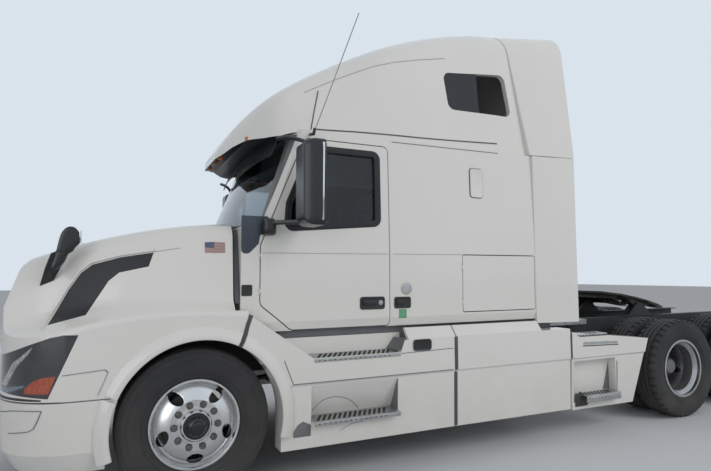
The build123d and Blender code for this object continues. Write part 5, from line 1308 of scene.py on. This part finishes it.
# y_in and y_out are the wall and the front lip, top and lip their heights, fall the slope of the top.
for name, first, last, y_in, y_out, top, lip, fall in (
    ("upper", 0.834, 1.566, 1.066, 1.2158, 0.914, 0.871, 0.018),
    ("lower", 0.823, 1.539, 1.08, 1.2495, 0.456, 0.418, 0.006),
    ("tail", 3.56, 4.025, 1.112, 1.2495, 0.368, 0.303, 0.0),
    ("tail_top", 3.5, 3.905, 1.07, 1.213, 0.94, 0.926, 0.0),
):
    front_top, deep = top - fall, y_out - y_in
    section = [(y_in, top - sheet_metal), (y_in, top), (y_out, front_top), (y_out, lip), (y_out - 0.005, lip),
               (y_out - 0.005, front_top - sheet_metal)]
    treads.append(cross_plate(f"{name}_tread_left", first, section, first - last, dull_alloy, edge=0.0015))
    slot = [at(first + s, y_in + share * deep, top - fall * share) for s, share in slot_corners]
    lip_middle = (front_top - 0.004 + lip) / 2
    hole = [at(first + s, y_out, lip_middle + up) for s, up in hole_corners]
    rows = [plate(f"{name}_slots_left", slot, (0, 0, line_rise), slot_shade_black, edge=0.0),
            plate(f"{name}_holes_left", hole, (0, 0.0006, 0), slot_shade_black, edge=0.0)]
    for row in rows:
        applied(row, "ARRAY", count=int((last - first - 0.1) / slot_pitch), use_relative_offset=False,
                use_constant_offset=True, constant_offset_displace=(-slot_pitch, 0, 0))
    twins(treads[-1], *rows)
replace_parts(treads[1], "step_treads")

# %% [markdown]
# Round the steps are the parts that make a moulded fairing look real: a grey sill under the door,
# grey end walls in the two step wells and in the tail well, whose grey is painted shade, black scuff corners,
# the recess of the fuel filler and the arc of an access cover in the back wall of the lower well.

# %% Sill, end walls in painted shade, scuff corners and filler recess


def well_y(z):
    """Width of the lower well's back wall at a height."""
    return 1.0672 + (z - 0.44) * 0.5


twins(
    side_plate("sill_left", [(0.61, 0.985), (0.61, 1.112), (3.34, 1.096), (3.34, 0.985)], 1.03, 0.006,
               sill_and_shade_grey),
    # Painted shade: the end walls of the wells are grey where they lie in shadow.
    plate("kick_end_left", [at(1.512, 1.0615, 0.915), at(1.585, 1.0615, 1.006), at(1.6075, 1.2085, 1.004),
                            at(1.5715, 1.2085, 0.914)], (0.002, 0, -0.001), sill_and_shade_grey, edge=0.0),
    cross_plate("well_end_left", 1.5445, [(1.196, 0.698), (1.0685, 0.455), (1.189, 0.455)], 0.003, sill_and_shade_grey,
                edge=0.0),
    side_plate("scuff_corner_left", [(0.6795, 0.342), (0.6795, 0.385), (0.713, 0.43), (0.7515, 0.452),
                                     (0.812, 0.421), (0.812, 0.342)], skirt_y, 0.004, sill_and_shade_grey, edge=0.0015),
    side_plate("tail_scuff_left", [(3.47, 0.262), (3.47, 0.35), (3.528, 0.403), (3.6, 0.372), (3.667, 0.336),
                                   (3.673, 0.297), (3.62, 0.262)], skirt_y, 0.004, black_trim, edge=0.0015),
    side_plate("tail_well_end_left", [(3.935, 0.372), (4.026, 0.64), (4.026, 0.372)], 1.1105, 0.002, sill_and_shade_grey,
               edge=0.0),
    tray("filler_recess_left", oblong(1.68, 1.854, 0.901, 0.991, 0.024, 5), shiny_black, y=lambda z: skirt_top_y,
         sink=0.005, rise=0.0065),
    strip("well_arc_left", [(0.8566, 0.4942), (0.8892, 0.538), (0.9239, 0.5708), (0.9722, 0.5886),
                            (1.0235, 0.5935), (1.0786, 0.5831), (1.1367, 0.5627), (1.1876, 0.5299),
                            (1.2293, 0.4922), (1.246, 0.47)], 0.005, well_y, joint_shade),
    strip("low_arc_left", [(1.051, 0.349), (1.093, 0.372), (1.1405, 0.39), (1.183, 0.3945), (1.237, 0.3976)],
          0.004, skirt_y, joint_shade),
    strip("tail_top_line_left", [(3.53, 0.921), (3.905, 0.919)], 0.008, line_y),
    strip("tail_lip_line_left", [(3.574, 0.829), (4.059, 0.817)], 0.009, line_y),
    strip("tail_lip_left", [(3.58, 0.853), (4.05, 0.84)], 0.026, line_y, dull_alloy),
    strip("tail_well_line_left", [(4.047, 0.655), (4.041, 0.36)], 0.009, low_skirt_y),
)

# %% [markdown]
# On the bonnet's side, near its hinge, a small striped film is stuck, and a green one on the sleeper.
# They are thin sheets laid on the side, and the stripes are made from the height in the material.
# A black strip under the headlamp is laid in the same way.

# %% Films and the strip under the lamp
stripe_pitch = 0.0117
film, tree, shader = principled("striped_film")
x, y, z = places(tree)
wave = maths(tree, "MULTIPLY", maths(tree, "SINE", maths(tree, "MULTIPLY", x, 44.0)), 0.0025)
level = maths(tree, "ADD", z, wave)
striped = maths(tree, "LESS_THAN", maths(tree, "MODULO", level, stripe_pitch), 0.0058)
colour = mixed(tree, striped, (0.47, 0.4, 0.37), (0.36, 0.16, 0.15))
corner = maths(tree, "MULTIPLY", maths(tree, "GREATER_THAN", x, front_axle_x - 0.122),
               maths(tree, "GREATER_THAN", level, 1.714))
fed(tree, shader["Base Color"], mixed(tree, corner, colour, (0.1, 0.12, 0.2)))
fed(tree, shader["Roughness"], spread(tree, placed(tree, cloudy, Scale=30.0), 0.0, 1.0, 0.35, 0.5))


def film_sheet(name, corners, node, material, body):
    """A thin sheet stuck on a solid's left side."""
    piece = drawn(name, on_side(closer(corners + corners[:1], 0.012), beside_truck_y))
    bpy.ops.mesh.remove_doubles(threshold=0.0001)
    bpy.ops.mesh.edge_face_add()
    bpy.ops.mesh.quads_convert_to_tris()
    bpy.ops.mesh.subdivide(number_cuts=3)
    thrown(finished(piece, material, body), node, line_rise)
    return finished(piece, material, body)


green_patch = finish("green_film", (0.16, 0.42, 0.24), (0.1, 0.33, 0.18), (0.3, 0.4), tone=18)
film_sheet("green_film_left", [(1.606, 1.159), (1.606, 1.233), (1.679, 1.233), (1.679, 1.159)], "sleeper_shell",
           green_patch, "chassis_and_cab")
twins(
    film_sheet("striped_film_left", [(0.056, 1.677), (0.056, 1.752), (0.128, 1.756), (0.199, 1.753), (0.199, 1.678),
                                     (0.128, 1.674)], "hood", film, "bonnet"),
    film_sheet("lamp_foot_left", [(-1.18, 0.7585), (-1.18, 0.774), (-1.031, 0.774), (-0.923, 0.769),
                                  (-0.906, 0.766), (-0.912, 0.7585)], "hood", black_trim, "bonnet"),
)

# %% [markdown]
# Two air-suspended seats and a bunk are seen through the glass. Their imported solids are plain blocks,
# so each is replaced: a pedestal that is modelled hard, and cushions that are sewn and filled.
# A cushion starts as its side view, pulled across the cab. It is remeshed evenly, blown up by a cloth
# simulation with the edges left soft, and its seams are pressed in afterwards.

# %% Seat fabric
seat_cloth = finish("seat_cloth", (0.105, 0.105, 0.112), (0.07, 0.07, 0.076), (0.8, 0.92), tone=9,
                    grain=0.0016, grain_scale=520)
side_cloth = finish("side_cloth", (0.052, 0.052, 0.056), (0.036, 0.036, 0.039), (0.55, 0.7), tone=7,
                    grain=0.001, grain_scale=700)
mattress_cloth = finish("mattress_cloth", (0.3, 0.29, 0.27), (0.23, 0.22, 0.205), (0.85, 0.95), tone=5,
                        grain=0.002)
cloth_frames, cloth_pressure = 20, 4.0


def swollen(piece, cap):
    """Blows a closed mesh up like a filled cover; no point moves further than cap."""
    before = [v.co.copy() for v in piece.data.vertices]
    active_only(piece)
    cloth = piece.modifiers.new("filling", "CLOTH")
    cloth.settings.use_pressure = True
    cloth.settings.uniform_pressure_force = cloth_pressure
    cloth.settings.effector_weights.gravity = 0
    cloth.settings.quality, cloth.settings.tension_stiffness = 5, 25
    cloth.point_cache.frame_start, cloth.point_cache.frame_end = 1, cloth_frames
    for number in range(1, cloth_frames + 1):
        bpy.context.scene.frame_set(number)
    bpy.ops.object.modifier_apply(modifier=cloth.name)
    bpy.context.scene.frame_set(1)
    for vertex, start in zip(piece.data.vertices, before):
        way = vertex.co - start
        if way.length > cap:
            vertex.co = start + way.normalized() * cap


def cushion(name, outline, y_from, y_to, material, seams, voxel=0.012, cap=0.022):
    """A filled cushion from its side view; seams are (axis, place, width, depth) lines pressed in."""
    piece = side_plate(name, outline, y_from, y_to - y_from, material, edge=0.03)
    applied(piece, "REMESH", mode="VOXEL", voxel_size=voxel)
    swollen(piece, cap)
    applied(piece, "SUBSURF", levels=1, render_levels=1)
    for axis, spot, width, deep in seams:
        opened(piece)
        for share in (1.0, 0.45):
            picked(piece, lambda p: abs(p[axis] - spot) < width * share)
            bpy.ops.transform.shrink_fatten(value=-deep)
    piece = finished(piece, material, angle=60)
    print(name, "points", len(piece.data.vertices))
    return piece


# %% Seats and bunk
seat_left = cushion("seat_cushion_left", [(1.05, 1.462), (1.046, 1.53), (1.08, 1.562), (1.545, 1.56),
                                          (1.552, 1.462)], 0.282, 0.758, seat_cloth,
                    [(1, 0.35, 0.01, 0.004), (1, 0.69, 0.01, 0.004), (0, front_axle_x - 1.3, 0.01, 0.004)])
back_left = cushion("seat_back_left", [(1.492, 1.575), (1.52, 1.8), (1.566, 2.12), (1.58, 2.255),
                                       (1.628, 2.255), (1.625, 2.0), (1.602, 1.7), (1.585, 1.575)],
                    0.292, 0.748, seat_cloth,
                    [(1, 0.36, 0.01, 0.004), (1, 0.68, 0.01, 0.004), (2, 2.08, 0.012, 0.006),
                     (2, 1.86, 0.01, 0.004)])
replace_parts(seat_left, "seats")
for piece in (seat_left, back_left):
    twin(piece)
mattress = cushion("bunk_mattress", [(2.25, 1.752), (2.25, 1.83), (3.3, 1.83), (3.3, 1.752)], -1.0, 1.0,
                   mattress_cloth, [(1, y, 0.016, 0.004) for y in (-0.5, 0.0, 0.5)], voxel=0.02, cap=0.016)
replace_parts(mattress, "bunk")
print("the seats and the bunk are filled")

# %% [markdown]
# The seat's pedestal is a folded rubber bellows between two plates, with a plastic pan under the cushion.
# The bunk lies on a board over a locker with a panelled front.
# The driver looks at a hooded instrument panel with round dials, and the dashboard has four air vents.
# A dial is a bezel spun about a line that runs along the truck; the vents are flat plates.

# %% Pedestals, bunk base and instruments
folds = [(0.18 if number % 2 else 0.156, 1.166 + 0.0195 * number) for number in range(14)]
twins(
    side_plate("pedestal_left", [(1.29 - r, z) for r, z in folds] + [(1.29 + r, z) for r, z in reversed(folds)],
               0.352, 0.336, side_cloth),
    side_plate("seat_pan_left", [(1.04, 1.428), (1.036, 1.456), (1.075, 1.466), (1.59, 1.466), (1.64, 1.56),
                                 (1.648, 1.545), (1.604, 1.428)], 0.272, 0.496, dash_trim, edge=0.006),
    side_plate("seat_shell_left", [(1.6, 1.545), (1.622, 1.7), (1.646, 2.0), (1.648, 2.262), (1.632, 2.262),
                                   (1.63, 2.0), (1.608, 1.7), (1.59, 1.56)], 0.288, 0.464, dash_trim,
               edge=0.003),
)
side_plate("bunk_board", [(2.205, 1.709), (2.205, 1.737), (3.335, 1.737), (3.335, 1.709)], -1.045, 2.09, cab_trim,
           edge=0.004)
cross_plate("bunk_front", 2.203, [(-1.045, 1.166), (-1.045, 1.706), (1.045, 1.706), (1.045, 1.166)], -0.02,
            cab_trim, edge=0.004)
side_plate("instrument_hood", [(0.56, 1.79), (0.6, 1.862), (0.735, 1.872), (0.742, 1.858), (0.7, 1.835),
                               (0.69, 1.77)], 0.3, 0.44, dash_trim, edge=0.008)
for number, (y, radius) in enumerate(((0.43, 0.052), (0.61, 0.052), (0.52, 0.03))):
    turned_along(f"dial_{number}", [(0.0, 0.699), (radius - 0.006, 0.699), (radius - 0.004, 0.707),
                                    (radius, 0.707), (radius, 0.694), (0.0, 0.694)], (y, 1.77), shiny_black, 32)
for number, y in enumerate((0.86, 0.16, -0.16, -0.86)):
    plate(f"dash_vent_{number}", [at(0.694, y - 0.07, 1.7), at(0.694, y - 0.07, 1.77),
                                  at(0.696, y + 0.07, 1.77), at(0.696, y + 0.07, 1.7)],
          (-0.006, 0, 0), shiny_black, edge=0.003)
print("the inside is furnished")

# %% [markdown]
# The driven wheels carry their discs deep inside, so from beside the truck one sees a bright rim edge
# round a dusty bowl in shade. The solid has that shape already. Its finish darkens by depth, as painted shade:
# a mask on the distance from the truck's middle, bright only at the outer flange.

# %% Deep wheels
shaded_deep_alloy = finish("shaded_deep_alloy", (0.6, 0.6, 0.61), (0.44, 0.44, 0.45), (0.22, 0.36), metal=1.0, tone=8,
                    dust=0.3, dust_top=1.0, grain=0.001, grain_scale=150)
tree = shaded_deep_alloy.node_tree
shader = tree.nodes["Principled BSDF"].inputs
# Painted shade: the alloy goes near black and less metallic towards the truck's middle.
deep = spread(tree, maths(tree, "ABSOLUTE", places(tree)[1]), 1.02, 1.215, 1.0, 0.0)
fed(tree, shader["Base Color"], mixed(tree, deep, shader["Base Color"].links[0].from_socket, (0.04, 0.04, 0.044)))
fed(tree, shader["Metallic"], spread(tree, deep, 0.0, 1.0, 1.0, 0.2))
dress(shaded_deep_alloy, "drive_wheels_1_@", "drive_wheels_2_@")
print("deep wheels:", shaded_deep_alloy.name)

# %% [markdown]
# Behind the cab lies a deck of chequered aluminium. Its raised pattern is a bump made from two crossed
# sets of waves, which costs nothing in faces. The coupling plate is black with grease where it turns.

# %% Deck and coupling plate
chequer = 150.0
deck_plate = finish("deck_plate", (0.58, 0.58, 0.57), (0.4, 0.4, 0.39), (0.36, 0.52), metal=1.0, tone=11,
                    dust=0.3, dust_top=1.3)
tree = deck_plate.node_tree
x, y, z = places(tree)
waves = [maths(tree, "SINE", maths(tree, "MULTIPLY", maths(tree, kind, x, y), chequer)) for kind in ("ADD", "SUBTRACT")]
bumped(tree, spread(tree, maths(tree, "MULTIPLY", *waves), 0.35, 0.75), 0.6, 0.002)
greased = finish("greased_iron", (0.06, 0.056, 0.052), (0.018, 0.017, 0.016), (0.25, 0.55), metal=0.5, tone=7,
                 grain=0.001, grain_scale=60)
dress(deck_plate, "rear_deck")
dress(greased, "fifth_wheel")
print("deck and plate:", deck_plate.name, greased.name)

# %% [markdown]
# The fuel tanks hang in steel straps with rubber under them, and the round tail lamps sit in bright
# bezels. Both are rings about lines along the truck. Each mudflap is weighted by a bar along its foot.
# Five amber marker lamps stand in the front edge of the roof, three near the middle and one at each end.

# %% Straps, bezels, flap bars and marker lamps
for number, station in enumerate((2.35, 2.755, 3.16)):
    twins(turned_along(f"tank_strap_{number}_left", [(0.2902, station - 0.024), (0.295, station - 0.022),
                                                     (0.295, station + 0.022), (0.2902, station + 0.024)],
                       (0.8, 0.61), dull_alloy, 72))
for number, y in enumerate((0.333, 0.47, 0.588)):
    twins(turned_along(f"lamp_bezel_{number}_left", [(0.0462, 7.281), (0.056, 7.281), (0.055, 7.29),
                                                     (0.048, 7.297), (0.0462, 7.29), (0.0462, 7.281)],
                       (y, 0.679), chrome, 40))
twins(cross_plate("flap_bar_left", 7.028, [(0.645, 0.3), (1.22, 0.3), (1.22, 0.34), (0.645, 0.34)], -0.016,
                  dull_alloy))
for name, station, y, z in (("roof_marker_middle", 0.303, 0.0, 2.556), ("roof_marker_1_left", 0.291, 0.253, 2.549),
                            ("roof_marker_2_left", 0.417, 0.735, 2.621)):
    marker = turned_along(name, [(0.0001, station - 0.012), (0.01, station - 0.01), (0.016, station - 0.003),
                                 (0.018, station + 0.01), (0.018, station + 0.03), (0.0001, station + 0.03)],
                          (y, z), amber_lens, 24)
    if y:
        twin(marker)
print("straps, bezels, flap bars and markers are on")
